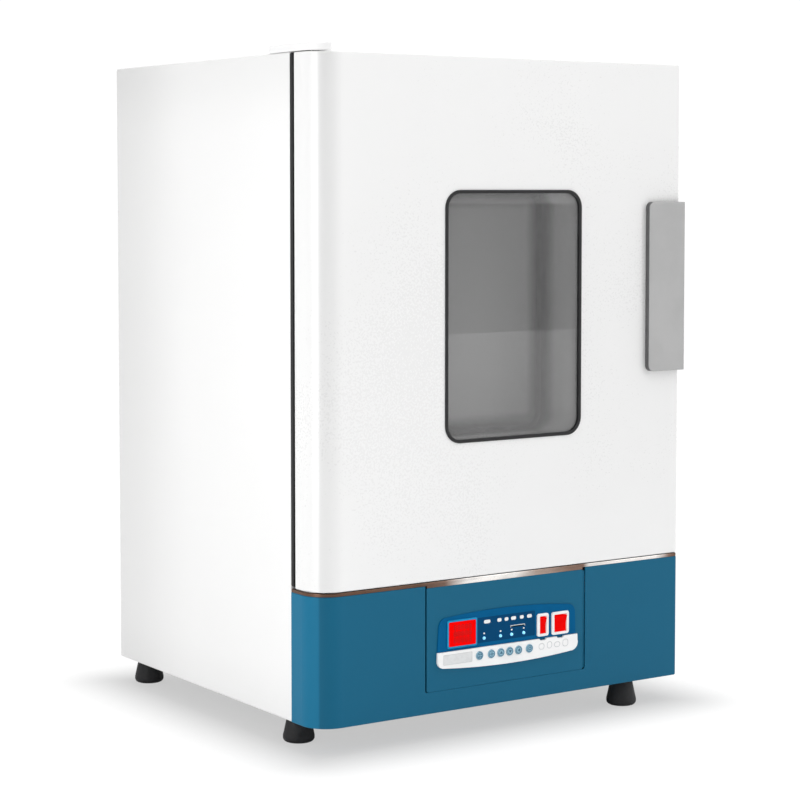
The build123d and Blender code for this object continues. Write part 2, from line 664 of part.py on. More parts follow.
# Black rubber round the window: lip seen at the front, flange on the glass behind the sheet
with BuildPart() as window_gasket:
    with BuildSketch(at_y(-1.2)):
        with Locations((X(WIN_X), Z(WIN_Z))):
            RectangleRounded(WIN_W, WIN_H, WIN_R)
            RectangleRounded(WIN_W - 2 * GASKET, WIN_H - 2 * GASKET, WIN_R - GASKET, mode=Mode.SUBTRACT)
    extrude(amount=-3.8)
    with BuildSketch(at_y(SHEET)):
        with Locations((X(WIN_X), Z(WIN_Z))):
            RectangleRounded(WIN_W + 12, WIN_H + 12, WIN_R + 4)
            RectangleRounded(WIN_W - 2 * GASKET, WIN_H - 2 * GASKET, WIN_R - GASKET, mode=Mode.SUBTRACT)
    extrude(amount=-(2.6 - SHEET))
write(window_gasket.part, "window_gasket")

# Silicone seal on the door's back, pressed against the liner's flange
with BuildPart() as door_seal:
    with BuildSketch(at_y(DOOR_T)):
        front_rect(55, 495, 233, 723, r=28)
        front_rect(71, 479, 249, 707, r=14, mode=Mode.SUBTRACT)
    extrude(amount=-(GAP - 0.3))
    fillet(door_seal.faces().sort_by(Axis.Y)[-1].edges(), 4.0)
write(door_seal.part, "door_seal")

# Magnets that hold the door shut
with BuildPart() as catch_magnets:
    with BuildSketch(at_y(DOOR_T)):
        front_rect(503, 521, 285, 325, r=2)
        front_rect(503, 521, 630, 670, r=2)
    extrude(amount=-8)
write(catch_magnets.part, "catch_magnets")

# Flanged bushes in the door's bottom and top
with BuildPart() as hinge_bushes:
    with BuildSketch(at_z(DOOR_Z0 - 1.0)):
        with Locations((X(HINGE_X), Y(HINGE_Y))):
            Circle(8.2)
    extrude(amount=1.0)
    with BuildSketch(at_z(DOOR_Z0)):
        with Locations((X(HINGE_X), Y(HINGE_Y))):
            Circle(7.0)
    extrude(amount=24)
    with BuildSketch(at_z(DOOR_Z1 - 24)):
        with Locations((X(HINGE_X), Y(HINGE_Y))):
            Circle(7.0)
    extrude(amount=24)
    with BuildSketch(at_z(DOOR_Z0 - 2)):
        with Locations((X(HINGE_X), Y(HINGE_Y))):
            Circle(PIN_D / 2 + RUN)
    extrude(amount=DOOR_Z1 - DOOR_Z0 + 4, mode=Mode.SUBTRACT)
write(hinge_bushes.part, "hinge_bushes")

# Pan head screws: eight in the door's back, three behind the handle
with BuildPart() as door_screws:
    spots = [(X(x), Z(z)) for x in (30.0, 520.0) for z in (200.0, 390.0, 570.0, 755.0)]
    with BuildSketch(at_y(DOOR_T)):
        with Locations(*spots):
            Circle(4.0)
    extrude(amount=-2.4)
    fillet(door_screws.edges().group_by(Axis.Y)[-1], 1.2)
    with BuildSketch(at_y(DOOR_T - 6)):
        with Locations(*spots):
            Circle(2.0)
    extrude(amount=-6)
    hspots = [(X(501), Z(z)) for z in (425.0, 507.0, 589.0)]
    with BuildSketch(at_y(SHEET)):
        with Locations(*hspots):
            Circle(3.6)
    extrude(amount=-2.2)
    with BuildSketch(at_y(-3)):
        with Locations(*hspots):
            Circle(2.0)
    extrude(amount=-(3 + SHEET))
write(door_screws.part, "door_screws")

# ---------------------------------------------------------------------------
# Hinges, catch plates and screws on the cabinet
# ---------------------------------------------------------------------------

with BuildPart() as top_hinge_bracket:
    with BuildSketch(at_z(BODY_H)):
        plan_rect(4.4, 19.6, 30.0, 100.0, r=3)
        plan_rect(4.4, 19.6, HINGE_Y, 60.0)
        with Locations((X(HINGE_X), Y(HINGE_Y))):
            Circle(7.6)
            Circle(PIN_D / 2, mode=Mode.SUBTRACT)
        with Locations((X(11.3), Y(72)), (X(11.3), Y(90))):
            Circle(2.5, mode=Mode.SUBTRACT)
    extrude(amount=4)
write(top_hinge_bracket.part, "top_hinge_bracket")

with BuildPart() as bottom_hinge_bracket:
    with BuildSketch(at_z(PANEL_TOP + 0.8)):
        plan_rect(6.0, 25.0, 19.0, CAB_Y, r=4)
        plan_rect(6.0, 25.0, 34.0, CAB_Y)
        with Locations((X(HINGE_X), Y(HINGE_Y))):
            Circle(PIN_D / 2, mode=Mode.SUBTRACT)
    extrude(amount=2.4)
    with BuildSketch(at_z(118)):
        plan_rect(6.0, 25.0, CAB_Y - 2.4, CAB_Y)
    extrude(amount=PANEL_TOP + 2 - 118)
write(bottom_hinge_bracket.part, "bottom_hinge_bracket")

with BuildPart() as hinge_pins:
    with BuildSketch(at_z(DOOR_Z1 - 22)):
        with Locations((X(HINGE_X), Y(HINGE_Y))):
            Circle(PIN_D / 2)
    extrude(amount=BODY_H + 4 - DOOR_Z1 + 22)
    with BuildSketch(at_z(PANEL_TOP + 0.8)):
        with Locations((X(HINGE_X), Y(HINGE_Y))):
            Circle(PIN_D / 2)
    extrude(amount=DOOR_Z0 + 22 - PANEL_TOP - 0.8)
    chamfer(hinge_pins.edges().filter_by(GeomType.CIRCLE).group_by(Axis.Z)[2], 0.8)
    chamfer(hinge_pins.edges().filter_by(GeomType.CIRCLE).group_by(Axis.Z)[1], 0.8)
write(hinge_pins.part, "hinge_pins")

# White cap over the top hinge, its front rounded like the door
CAP_MID = 7.0
CAP_MID_Y = CORNER_R - (CORNER_R**2 - (CORNER_R - CAP_MID) ** 2) ** 0.5
CAP_END_Y = CORNER_R - (CORNER_R**2 - (CORNER_R - 22.5) ** 2) ** 0.5
with BuildPart() as hinge_cap:
    with BuildSketch(at_z(BODY_H)):
        with BuildLine():
            Line((X(0), Y(106)), (X(0), Y(CORNER_R)))
            ThreePointArc((X(0), Y(CORNER_R)), (X(CAP_MID), Y(CAP_MID_Y)), (X(22.5), Y(CAP_END_Y)))
            Line((X(22.5), Y(CAP_END_Y)), (X(22.5), Y(106)))
            Line((X(22.5), Y(106)), (X(0), Y(106)))
        make_face()
    extrude(amount=9)
    fillet(hinge_cap.edges().filter_by(Axis.Z).sort_by(Axis.Y)[-2:], 2.0)
    fillet(hinge_cap.faces().sort_by(Axis.Z)[-1].edges(), 1.5)
    with BuildSketch(at_z(BODY_H - 1)):
        plan_rect(1.6, 20.9, 34.0, 104.4, r=4)
        plan_rect(1.6, 20.9, 30.0, 60.0)
        with Locations((X(HINGE_X), Y(HINGE_Y))):
            Circle(8.9)
    extrude(amount=8.4, mode=Mode.SUBTRACT)
write(hinge_cap.part, "hinge_cap")

with BuildPart() as catch_plates:
    with BuildSketch(at_y(CAB_Y - 1.6)):
        front_rect(502, 522, 282, 328, r=2)
        front_rect(502, 522, 627, 673, r=2)
    extrude(amount=-(1.6 + SHEET))
write(catch_plates.part, "catch_plates")

# Screws of the rear panel, the motor cover, the exhaust flange, the motor and the top hinge
with BuildPart() as cabinet_screws:
    rear = [(X(x), Z(z)) for x, z in REAR_SCREWS]
    with BuildSketch(at_y(DEPTH)):
        with Locations(*rear):
            Circle(4.2)
    extrude(amount=-2.2)
    with BuildSketch(at_y(DEPTH - 8)):
        with Locations(*rear):
            Circle(2.0)
    extrude(amount=-8)
    cover = [(X(x), Z(z)) for x in (99.0, 451.0) for z in (415.0, 541.0)]
    with BuildSketch(at_y(DEPTH + SHEET)):
        with Locations(*cover):
            Circle(4.0)
    extrude(amount=-2.2)
    with BuildSketch(at_y(DEPTH)):
        with Locations(*cover):
            Circle(2.0)
    extrude(amount=-SHEET)
    flange = [(X(EXH_X + a), Z(EXH_Z + b)) for a in (-34, 34) for b in (-34, 34)]
    with BuildSketch(at_y(DEPTH + 1.5)):
        with Locations(*flange):
            Circle(4.0)
    extrude(amount=-2.2)
    with BuildSketch(at_y(DEPTH)):
        with Locations(*flange):
            Circle(2.0)
    extrude(amount=-1.5)
    motor = [(X(FAN_X + a), Z(FAN_Z + b)) for a in (-42, 42) for b in (-42, 42)]
    with BuildSketch(at_y(DEPTH + 2)):
        with Locations(*motor):
            Circle(4.5)
    extrude(amount=-2.6)
    with BuildSketch(at_y(DEPTH)):
        with Locations(*motor):
            Circle(2.5)
    extrude(amount=-2)
    hinge = [(X(11.3), Y(72)), (X(11.3), Y(90))]
    with BuildSketch(at_z(BODY_H + 4)):
        with Locations(*hinge):
            Circle(4.2)
    extrude(amount=2.2)
    with BuildSketch(at_z(BODY_H)):
        with Locations(*hinge):
            Circle(2.5)
    extrude(amount=4)
write(cabinet_screws.part, "cabinet_screws")

# Tapered rubber feet, wider at the floor
with BuildPart() as feet:
    for fx, fy in FEET:
        with BuildSketch(Plane.XZ.offset(-Y(fy))):
            with BuildLine():
                Line((X(fx), 0), (X(fx) + 14.2, 0))
                ThreePointArc((X(fx) + 14.2, 0), (X(fx) + 17.735, 1.465), (X(fx) + 19.2, 5.0))
                Polyline(
                    (X(fx) + 19.2, 5.0), (X(fx) + 19.2, 7.5), (X(fx) + 14.4, FOOT_H - 3.5),
                    (X(fx) + 15.0, FOOT_H - 2.0), (X(fx) + 15.0, FOOT_H), (X(fx), FOOT_H), (X(fx), 0),
                )
            make_face()
        revolve(axis=Axis((X(fx), Y(fy), 0), (0, 0, 1)))
write(feet.part, "feet")

# ---------------------------------------------------------------------------
# Lower front: blue panel, fascia, controls
# ---------------------------------------------------------------------------

with BuildPart() as lower_front_panel:
    with BuildSketch(at_z(0)):
        front_outline(CAB_Y)
    extrude(amount=PANEL_TOP)
    ends = lower_front_panel.faces().filter_by(Axis.Z)
    fillet(ends.edges().filter_by(lambda e: e.center().Y < Y(CAB_Y) - 1), 1.6)
    with BuildSketch(at_z(SHEET)):
        front_outline(CAB_Y + 1, inset=SHEET)
    extrude(amount=PANEL_TOP - 2 * SHEET, mode=Mode.SUBTRACT)
    # opening for the control fascia, open at the top
    with BuildSketch(at_y(-1)):
        front_rect(152.4, 397.4, 26.2, 175.0, r=3)
    extrude(amount=-42, mode=Mode.SUBTRACT)
    # notch for the bottom hinge's tab
    with BuildSketch(at_z(110)):
        plan_rect(2.0, 26.0, CAB_Y - 3.0, CAB_Y + 1)
    extrude(amount=60, mode=Mode.SUBTRACT)
write(lower_front_panel.part, "lower_front_panel")

# Fascia: centre piece between the two seams, its top a little lower
with BuildPart() as control_fascia:
    with BuildSketch(at_y(0)):
        front_rect(154.8, 393.3, 26.3, 153.2, r=2)
    extrude(amount=-40)
    sides = control_fascia.edges().group_by(Axis.Y)[0].filter_by(Axis.Z)
    chamfer(sides, 0.4)
    with BuildSketch(at_y(SHEET)):
        front_rect(154.8 + SHEET, 393.3 - SHEET, 26.3 + SHEET, 153.2 - SHEET, r=1)
    extrude(amount=-50, mode=Mode.SUBTRACT)
    with BuildSketch(at_y(-2)):
        with Locations((X(205.7), Z(93.7))):
            Rectangle(38.0, 27.0)
        with Locations(*[(X(x), Z(LED_Z)) for x in LED_X]):
            Circle(2.2)
        with Locations(*[(X(x), Z(KEY_Z)) for x in KEY_X]):
            Circle(6.2)
        for sx_, sz_, sw_, sh_ in (SMALL_SW, LARGE_SW):
            with Locations((X(sx_), Z(sz_))):
                Rectangle(sw_ - 4.0, sh_ - 4.0)
    extrude(amount=-6, mode=Mode.SUBTRACT)
write(control_fascia.part, "control_fascia")

# Polished strip round the front under the door, deeper over the fascia, with a foot on the panel
with BuildPart() as trim_strip:
    with BuildSketch(at_z(PANEL_TOP + 0.1)):
        front_outline(CAB_Y - 1, inset=0.3)
    extrude(amount=4.1)
    rim = trim_strip.faces().sort_by(Axis.Z)[-1].edges()
    fillet(rim.filter_by(lambda e: e.center().Y < Y(CAB_Y - 2)), 1.1)
    with BuildSketch(at_z(PANEL_TOP)):
        front_outline(CAB_Y + 1, inset=1.9)
    extrude(amount=5, mode=Mode.SUBTRACT)
    with BuildSketch(at_z(153.4)):
        plan_rect(155.0, 393.1, 0.5, 1.9)
    extrude(amount=4)
    with BuildSketch(at_z(PANEL_TOP + 0.1)):
        plan_rect(32.0, 540.0, 1.5, 10.0)
    extrude(amount=1.0)
write(trim_strip.part, "trim_strip")

# Arched darker plate behind display, lamps and switches
with BuildPart() as display_panel:
    with BuildSketch(at_y(-1.2)):
        with BuildLine():
            Line((X(169.5), Z(73.6)), (X(381.0), Z(73.6)))
            Line((X(381.0), Z(73.6)), (X(380.0), Z(102.0)))
            RadiusArc((X(380.0), Z(102.0)), (X(369.0), Z(112.2)), -11.0)
            ThreePointArc((X(369.0), Z(112.2)), (X(275.0), Z(118.3)), (X(182.0), Z(114.6)))
            RadiusArc((X(182.0), Z(114.6)), (X(171.5), Z(104.0)), -11.0)
            Line((X(171.5), Z(104.0)), (X(169.5), Z(73.6)))
        make_face()
        with Locations((X(205.7), Z(93.7))):
            Rectangle(38.0, 27.0, mode=Mode.SUBTRACT)
        with Locations(*[(X(x), Z(LED_Z)) for x in LED_X]):
            Circle(2.2, mode=Mode.SUBTRACT)
        for sx_, sz_, sw_, sh_ in (SMALL_SW, LARGE_SW):
            with Locations((X(sx_), Z(sz_))):
                Rectangle(sw_ - 4.0, sh_ - 4.0, mode=Mode.SUBTRACT)
    extrude(amount=-1.2)
write(display_panel.part, "display_panel")

# White boat-shaped strip with the round keys, notched under the two switches
with BuildPart() as key_strip:
    with BuildSketch(at_y(-3.0)):
        with BuildLine():
            Line((X(169.2), Z(73.2)), (X(383.0), Z(73.2)))
            Line((X(383.0), Z(73.2)), (X(383.4), Z(61.0)))
            RadiusArc((X(383.4), Z(61.0)), (X(373.0), Z(52.9)), 10.5)
            ThreePointArc((X(373.0), Z(52.9)), (X(275.0), Z(48.6)), (X(176.5), Z(53.6)))
            RadiusArc((X(176.5), Z(53.6)), (X(169.0), Z(62.0)), 9.0)
            Line((X(169.0), Z(62.0)), (X(169.2), Z(73.2)))
        make_face()
        with Locations(*[(X(x), Z(KEY_Z)) for x in KEY_X]):
            Circle(KEY_D / 2 + 0.3, mode=Mode.SUBTRACT)
        with Locations((X(SMALL_SW[0]), Z(73.6)), (X(LARGE_SW[0]), Z(73.6))):
            SlotOverall(11.0, 5.0, mode=Mode.SUBTRACT)
    extrude(amount=-3.0)
    fillet(key_strip.faces().sort_by(Axis.Y)[0].outer_wire().edges().filter_by(lambda e: e.length > 8), 0.6)
write(key_strip.part, "key_strip")

# Red display window and the four lamps
with BuildPart() as display_lens:
    with BuildSketch(at_y(-2.6)):
        with Locations((X(205.7), Z(93.7))):
            RectangleRounded(39.8, 29.6, 1.0)
    extrude(amount=-1.4)
    with BuildSketch(at_y(-1.2)):
        with Locations((X(205.7), Z(93.7))):
            Rectangle(37.6, 26.6)
    extrude(amount=-5.0)
write(display_lens.part, "display_lens")

with BuildPart() as indicator_leds:
    for lx in LED_X:
        with BuildSketch(Plane.YZ.offset(X(lx))):
            with BuildLine():
                Line((Y(6.0), Z(LED_Z)), (Y(6.0), Z(LED_Z) + 2.0))
                Line((Y(6.0), Z(LED_Z) + 2.0), (Y(-1.2), Z(LED_Z) + 2.0))
                RadiusArc((Y(-1.2), Z(LED_Z) + 2.0), (Y(-3.2), Z(LED_Z)), -2.0)
                Line((Y(-3.2), Z(LED_Z)), (Y(6.0), Z(LED_Z)))
            make_face()
        revolve(axis=Axis((X(lx), 0, Z(LED_Z)), (0, 1, 0)))
write(indicator_leds.part, "indicator_leds")

# Two rocker switch bodies with white bezels
with BuildPart() as switch_bezels:
    for sx_, sz_, sw_, sh_ in (SMALL_SW, LARGE_SW):
        with BuildSketch(at_y(-3.2)):
            with Locations((X(sx_), Z(sz_))):
                RectangleRounded(sw_, sh_, 3.0)
        extrude(amount=-2.0)
        with BuildSketch(at_y(-1.3)):
            with Locations((X(sx_), Z(sz_))):
                Rectangle(sw_ - 4.4, sh_ - 4.4)
        extrude(amount=-21.3)
    fillet(switch_bezels.edges().group_by(Axis.Y)[0], 0.8)
    for sx_, sz_, sw_, sh_ in (SMALL_SW, LARGE_SW):
        with BuildSketch(at_y(-4)):
            with Locations((X(sx_), Z(sz_))):
                Rectangle(sw_ - 7.4, sh_ - 6.6)
        extrude(amount=-16, mode=Mode.SUBTRACT)
        with BuildSketch(at_x(sx_ - sw_ / 2)):
            with Locations((Y(ROCK_Y), Z(sz_))):
                Circle(1.25 + RUN)
        extrude(amount=sw_, mode=Mode.SUBTRACT)
write(switch_bezels.part, "switch_bezels")


# Rockers, tipped to their off side, each with two pivot stubs in its bezel
for name, (rx, rz, rw, rh) in (("small_rocker", SMALL_SW), ("large_rocker", LARGE_SW)):
    half = (rh - 6.6) / 2 - 1.0
    face_y, waist_y, back_y = Y(ROCK_Y) - 7.6, Y(ROCK_Y) - 2.0, Y(ROCK_Y) + 4.5
    with BuildPart() as blank:
        with BuildSketch(Plane.YZ.offset(X(rx) - (rw - 8.2) / 2)):
            with BuildLine():
                Polyline((back_y, Z(rz) - half + 1.5), (back_y, Z(rz) + half - 1.5), (waist_y, Z(rz) + half), (face_y, Z(rz) + half))
                ThreePointArc((face_y, Z(rz) + half), (face_y + 1.8, Z(rz)), (face_y, Z(rz) - half))
                Polyline((face_y, Z(rz) - half), (waist_y, Z(rz) - half), (back_y, Z(rz) - half + 1.5))
            make_face()
        extrude(amount=rw - 8.2)
        fillet(blank.faces().sort_by(Axis.Y)[0].edges(), 0.5)
        with BuildSketch(Plane.YZ.offset(X(rx) - (rw - 5.6) / 2)):
            with Locations((Y(ROCK_Y), Z(rz))):
                Circle(1.25)
        extrude(amount=rw - 5.6)
    write(blank.part.rotate(Axis((0, Y(ROCK_Y), Z(rz)), (1, 0, 0)), ROCK), name)

# Six round keys, each with a stem behind the strip and a collar that keeps it in
for number, kx in enumerate(KEY_X, start=1):
    with BuildPart() as key:
        with BuildSketch(at_y(-4.2)):
            with Locations((X(kx), Z(KEY_Z))):
                Circle(KEY_D / 2)
        extrude(amount=-4.4)
        fillet(key.edges().group_by(Axis.Y)[0], 0.7)
        with BuildSketch(at_y(0.2)):
            with Locations((X(kx), Z(KEY_Z))):
                Circle(KEY_D / 2 + 0.8)
        extrude(amount=-1.2)
        with BuildSketch(at_y(1.4)):
            with Locations((X(kx), Z(KEY_Z))):
                Circle(2.0)
        extrude(amount=-6.0)
    write(key.part, "key_" + str(number))

# ---------------------------------------------------------------------------
# Electrics in the lower compartment
# ---------------------------------------------------------------------------

# Controller: board on four posts, display module, push switches behind the keys
with BuildPart() as controller_board:
    with BuildSketch(at_y(24)):
        front_rect(176, 312, 42, 122, r=3)
    extrude(amount=-1.6)
    with BuildSketch(at_y(SHEET)):
        with Locations(*[(X(x), Z(z)) for x in (181.0, 307.0) for z in (47.0, 117.0)]):
            Circle(3.0)
    extrude(amount=-(24 - SHEET))
    with BuildSketch(at_y(5)):
        with Locations((X(205.7), Z(93.7))):
            Rectangle(40.0, 28.0)
    extrude(amount=-19)
    with BuildSketch(at_y(8.4)):
        with Locations(*[(X(x), Z(KEY_Z)) for x in KEY_X]):
            Rectangle(6.0, 6.0)
    extrude(amount=-15.6)
    with BuildSketch(at_y(6.2)):
        with Locations(*[(X(x), Z(LED_Z)) for x in LED_X]):
            Circle(2.0)
    extrude(amount=-17.8)
    with BuildSketch(at_y(25.6)):
        with Locations((X(215), Z(70))):
            Rectangle(26.0, 22.0)
        with Locations((X(255), Z(75))):
            Rectangle(18.0, 18.0)
        with Locations((X(292), Z(70))):
            Rectangle(14.0, 34.0)
    extrude(amount=-12)
write(controller_board.part, "controller_board")

# Solid-state relay on a finned heat sink
with BuildPart() as heater_relay:
    with BuildSketch(at_z(1.5)):
        plan_rect(320, 400, 300, 400)
    extrude(amount=6)
    with BuildSketch(at_z(7.5)):
        with Locations((X(360), Y(350))):
            with GridLocations(8.0, 1.0, 10, 1):
                Rectangle(2.0, 100.0)
    extrude(amount=28)
    with BuildSketch(at_z(35.5)):
        plan_rect(320, 400, 300, 400)
    extrude(amount=4)
    with BuildSketch(at_z(39.5)):
        plan_rect(337.5, 382.5, 321, 379, r=3)
    extrude(amount=24)
write(heater_relay.part, "heater_relay")

# Mains inlet with three blades in an open socket
with BuildPart() as power_inlet:
    with BuildSketch(at_y(DEPTH)):
        with Locations((X(INLET[0]), Z(INLET[1]))):
            RectangleRounded(50.0, 26.0, 5.0)
            with GridLocations(40.0, 1.0, 2, 1):
                Circle(1.8, mode=Mode.SUBTRACT)
    extrude(amount=-2.6)
    with BuildSketch(at_y(DEPTH - 24)):
        with Locations((X(INLET[0]), Z(INLET[1]))):
            RectangleRounded(27.2, 20.0, 2.0)
    extrude(amount=-24)
    with BuildSketch(at_y(DEPTH - 17)):
        with Locations((X(INLET[0]), Z(INLET[1]))):
            RectangleRounded(24.0, 16.6, 3.0)
    extrude(amount=-22, mode=Mode.SUBTRACT)
    with BuildSketch(at_y(DEPTH - 24)):
        with Locations((X(INLET[0]), Z(INLET[1] + 2.0)), (X(INLET[0] - 7.0), Z(INLET[1] - 2.0)), (X(INLET[0] + 7.0), Z(INLET[1] - 2.0))):
            Rectangle(2.0, 4.0)
    extrude(amount=-22)
write(power_inlet.part, "power_inlet")

# Two wire bundles along the floor: inlet to switch, relay to controller
with BuildPart() as wiring_harness:
    with BuildLine():
        FilletPolyline(
            (X(450), Y(DEPTH - 24.2), Z(70)),
            (X(450), Y(440), Z(70)),
            (X(450), Y(420), Z(8)),
            (X(450), Y(130), Z(8)),
            (X(356), Y(90), Z(20)),
            (X(356), Y(60), Z(90)),
            (X(356), Y(20.3), Z(90)),
            radius=14.0,
        )
    with BuildSketch(at_y(DEPTH - 24.2)):
        with Locations((X(450), Z(70))):
            Circle(4.0)
    sweep()
    with BuildLine():
        FilletPolyline(
            (X(360), Y(299.8), Z(9)),
            (X(360), Y(230), Z(9)),
            (X(270), Y(120), Z(9)),
            (X(270), Y(75), Z(60)),
            (X(270), Y(26.0), Z(60)),
            radius=16.0,
        )
    with BuildSketch(at_y(299.8)):
        with Locations((X(360), Z(9))):
            Circle(3.0)
    sweep()
write(wiring_harness.part, "wiring_harness")
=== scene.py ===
import math
import random

import bmesh
import bpy
from mathutils import Matrix, Vector


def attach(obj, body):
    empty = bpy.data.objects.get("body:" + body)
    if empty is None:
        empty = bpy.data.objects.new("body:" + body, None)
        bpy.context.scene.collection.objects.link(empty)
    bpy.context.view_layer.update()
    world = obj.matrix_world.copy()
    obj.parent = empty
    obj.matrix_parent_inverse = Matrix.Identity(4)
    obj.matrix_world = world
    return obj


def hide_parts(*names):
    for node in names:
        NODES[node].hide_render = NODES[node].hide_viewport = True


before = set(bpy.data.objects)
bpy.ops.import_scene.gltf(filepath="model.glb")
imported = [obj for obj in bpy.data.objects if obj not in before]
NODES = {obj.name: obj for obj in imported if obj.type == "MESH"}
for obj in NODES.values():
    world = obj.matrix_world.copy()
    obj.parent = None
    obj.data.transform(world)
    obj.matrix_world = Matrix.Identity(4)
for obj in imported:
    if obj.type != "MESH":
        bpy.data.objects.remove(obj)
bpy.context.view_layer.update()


def P(x, y, z):
    """Cabinet millimetres (from the left side, from the door's face going back, up from the body's underside) to the frame's metres."""
    return Vector(((x - 276.0) / 1000.0, (y - 271.0) / 1000.0, (z + 33.0) / 1000.0))


# ---------------------------------------------------------------------------
# Node helpers
# ---------------------------------------------------------------------------


class Mat:
    """A material with one Principled shader, and short calls for the nodes that feed it."""

    def __init__(self, name):
        self.mat = bpy.data.materials.new(name)
        self.mat.use_nodes = True
        self.tree = self.mat.node_tree
        self.bsdf = self.tree.nodes["Principled BSDF"]
        self.coord = self.tree.nodes.new("ShaderNodeTexCoord")
        self.maps = {}

    def node(self, kind, **settings):
        n = self.tree.nodes.new(kind)
        for k, v in settings.items():
            setattr(n, k, v)
        return n

    def link(self, a, b):
        self.tree.links.new(a, b)

    def set(self, **values):
        for k, v in values.items():
            self.bsdf.inputs[k.replace("_", " ")].default_value = v
        return self

    def place(self, scale=(1.0, 1.0, 1.0), turn=(0.0, 0.0, 0.0)):
        """Object coordinates in metres, stretched."""
        key = (tuple(scale), tuple(turn))
        if key not in self.maps:
            m = self.node("ShaderNodeMapping")
            m.inputs["Scale"].default_value = scale
            m.inputs["Rotation"].default_value = turn
            self.link(self.coord.outputs["Object"], m.inputs["Vector"])
            self.maps[key] = m.outputs["Vector"]
        return self.maps[key]

    def noise(self, scale, detail=3.0, rough=0.55, stretch=(1.0, 1.0, 1.0), turn=(0.0, 0.0, 0.0), distort=0.0):
        n = self.node("ShaderNodeTexNoise")
        n.inputs["Scale"].default_value = scale
        n.inputs["Detail"].default_value = detail
        n.inputs["Roughness"].default_value = rough
        n.inputs["Distortion"].default_value = distort
        self.link(self.place(stretch, turn), n.inputs["Vector"])
        return n.outputs["Fac"]

    def voronoi(self, scale, feature="F1", stretch=(1.0, 1.0, 1.0)):
        n = self.node("ShaderNodeTexVoronoi", feature=feature)
        n.inputs["Scale"].default_value = scale
        self.link(self.place(stretch), n.inputs["Vector"])
        return n.outputs["Distance"]

    def ramp(self, fac, stops, smooth=False):
        n = self.node("ShaderNodeValToRGB")
        n.color_ramp.interpolation = "EASE" if smooth else "LINEAR"
        while len(n.color_ramp.elements) < len(stops):
            n.color_ramp.elements.new(0.5)
        for e, (pos, col) in zip(n.color_ramp.elements, stops):
            e.position = pos
            e.color = (*col, 1.0) if hasattr(col, "__len__") else (col, col, col, 1.0)
        self.link(fac, n.inputs["Fac"])
        return n.outputs["Color"]

    def span(self, fac, low, high, a=0.3, b=0.7):
        n = self.node("ShaderNodeMapRange")
        n.inputs["From Min"].default_value = a
        n.inputs["From Max"].default_value = b
        n.inputs["To Min"].default_value = low
        n.inputs["To Max"].default_value = high
        self.link(fac, n.inputs["Value"])
        return n.outputs["Result"]

    def math(self, op, a, b=None, clamp=False):
        n = self.node("ShaderNodeMath", operation=op, use_clamp=clamp)
        for i, v in enumerate((a, b)):
            if v is None:
                continue
            if isinstance(v, (int, float)):
                n.inputs[i].default_value = v
            else:
                self.link(v, n.inputs[i])
        return n.outputs[0]

    def mix(self, fac, a, b, blend="MIX"):
        n = self.node("ShaderNodeMix", data_type="RGBA", blend_type=blend)
        if isinstance(fac, (int, float)):
            n.inputs[0].default_value = fac
        else:
            self.link(fac, n.inputs[0])
        for i, v in ((6, a), (7, b)):
            if hasattr(v, "__len__"):
                n.inputs[i].default_value = (*v, 1.0) if len(v) == 3 else v
            else:
                self.link(v, n.inputs[i])
        return n.outputs[2]

    def colour(self, out):
        self.link(out, self.bsdf.inputs["Base Color"])
        return self

    def rough(self, out):
        self.link(out, self.bsdf.inputs["Roughness"])
        return self

    def bump(self, *layers):
        """Each layer is (height output, strength, distance in metres)."""
        last = None
        for height, strength, distance in layers:
            b = self.node("ShaderNodeBump")
            b.inputs["Strength"].default_value = strength
            b.inputs["Distance"].default_value = distance
            self.link(height, b.inputs["Height"])
            if last is not None:
                self.link(last, b.inputs["Normal"])
            last = b.outputs["Normal"]
        self.link(last, self.bsdf.inputs["Normal"])
        return self

    def paint_shade(self, tone, shade_ramps):
        """Paints shade into a colour: multiplies it by ramps along object axes, each (axis, from, to, factor, factor).
        """
        for name, a, b, low, high in shade_ramps:
            along = self.ramp(self.span(self.axis(name), 0.0, 1.0, a, b), [(0.0, low), (1.0, high)], smooth=True)
            tone = self.mix(1.0, tone, along, "MULTIPLY")
        return tone

    def axis(self, name):
        """One object coordinate, in metres."""
        if "sep" not in self.maps:
            s = self.node("ShaderNodeSeparateXYZ")
            self.link(self.coord.outputs["Object"], s.inputs[0])
            self.maps["sep"] = s
        return self.maps["sep"].outputs[name]


def shade(c, k):
    return tuple(min(1.0, v * k) for v in c)


# ---------------------------------------------------------------------------
# Materials
# ---------------------------------------------------------------------------


def enamel(name, colour, rough=(0.34, 0.46), spec=0.5, peel=0.05, dust=0.03, shade_ramps=()):
    """Stoved enamel on sheet: faint cloudiness, orange peel and fine dust specks, with painted shade from its shade
    ramps along the object's axes.
    """
    m = Mat(name)
    m.set(Specular_IOR_Level=spec)
    clouds = m.noise(2.6, 3.0, 0.5)
    fine = m.noise(420.0, 2.0, 0.5)
    tone = m.ramp(clouds, [(0.30, shade(colour, 0.985)), (0.70, shade(colour, 1.012))], smooth=True)
    speck = m.ramp(m.noise(900.0, 1.0, 0.4), [(0.30, 0.975), (0.42, 1.0)])
    tone = m.mix(dust * 8, tone, speck, "MULTIPLY")
    tone = m.paint_shade(tone, shade_ramps)
    m.colour(tone)
    m.rough(m.span(m.math("ADD", m.math("MULTIPLY", clouds, 0.6), m.math("MULTIPLY", fine, 0.4)), rough[0], rough[1], 0.35, 0.65))
    m.bump((fine, peel, 0.0004), (m.noise(60.0, 2.0, 0.5), 0.05, 0.0008))
    return m.mat


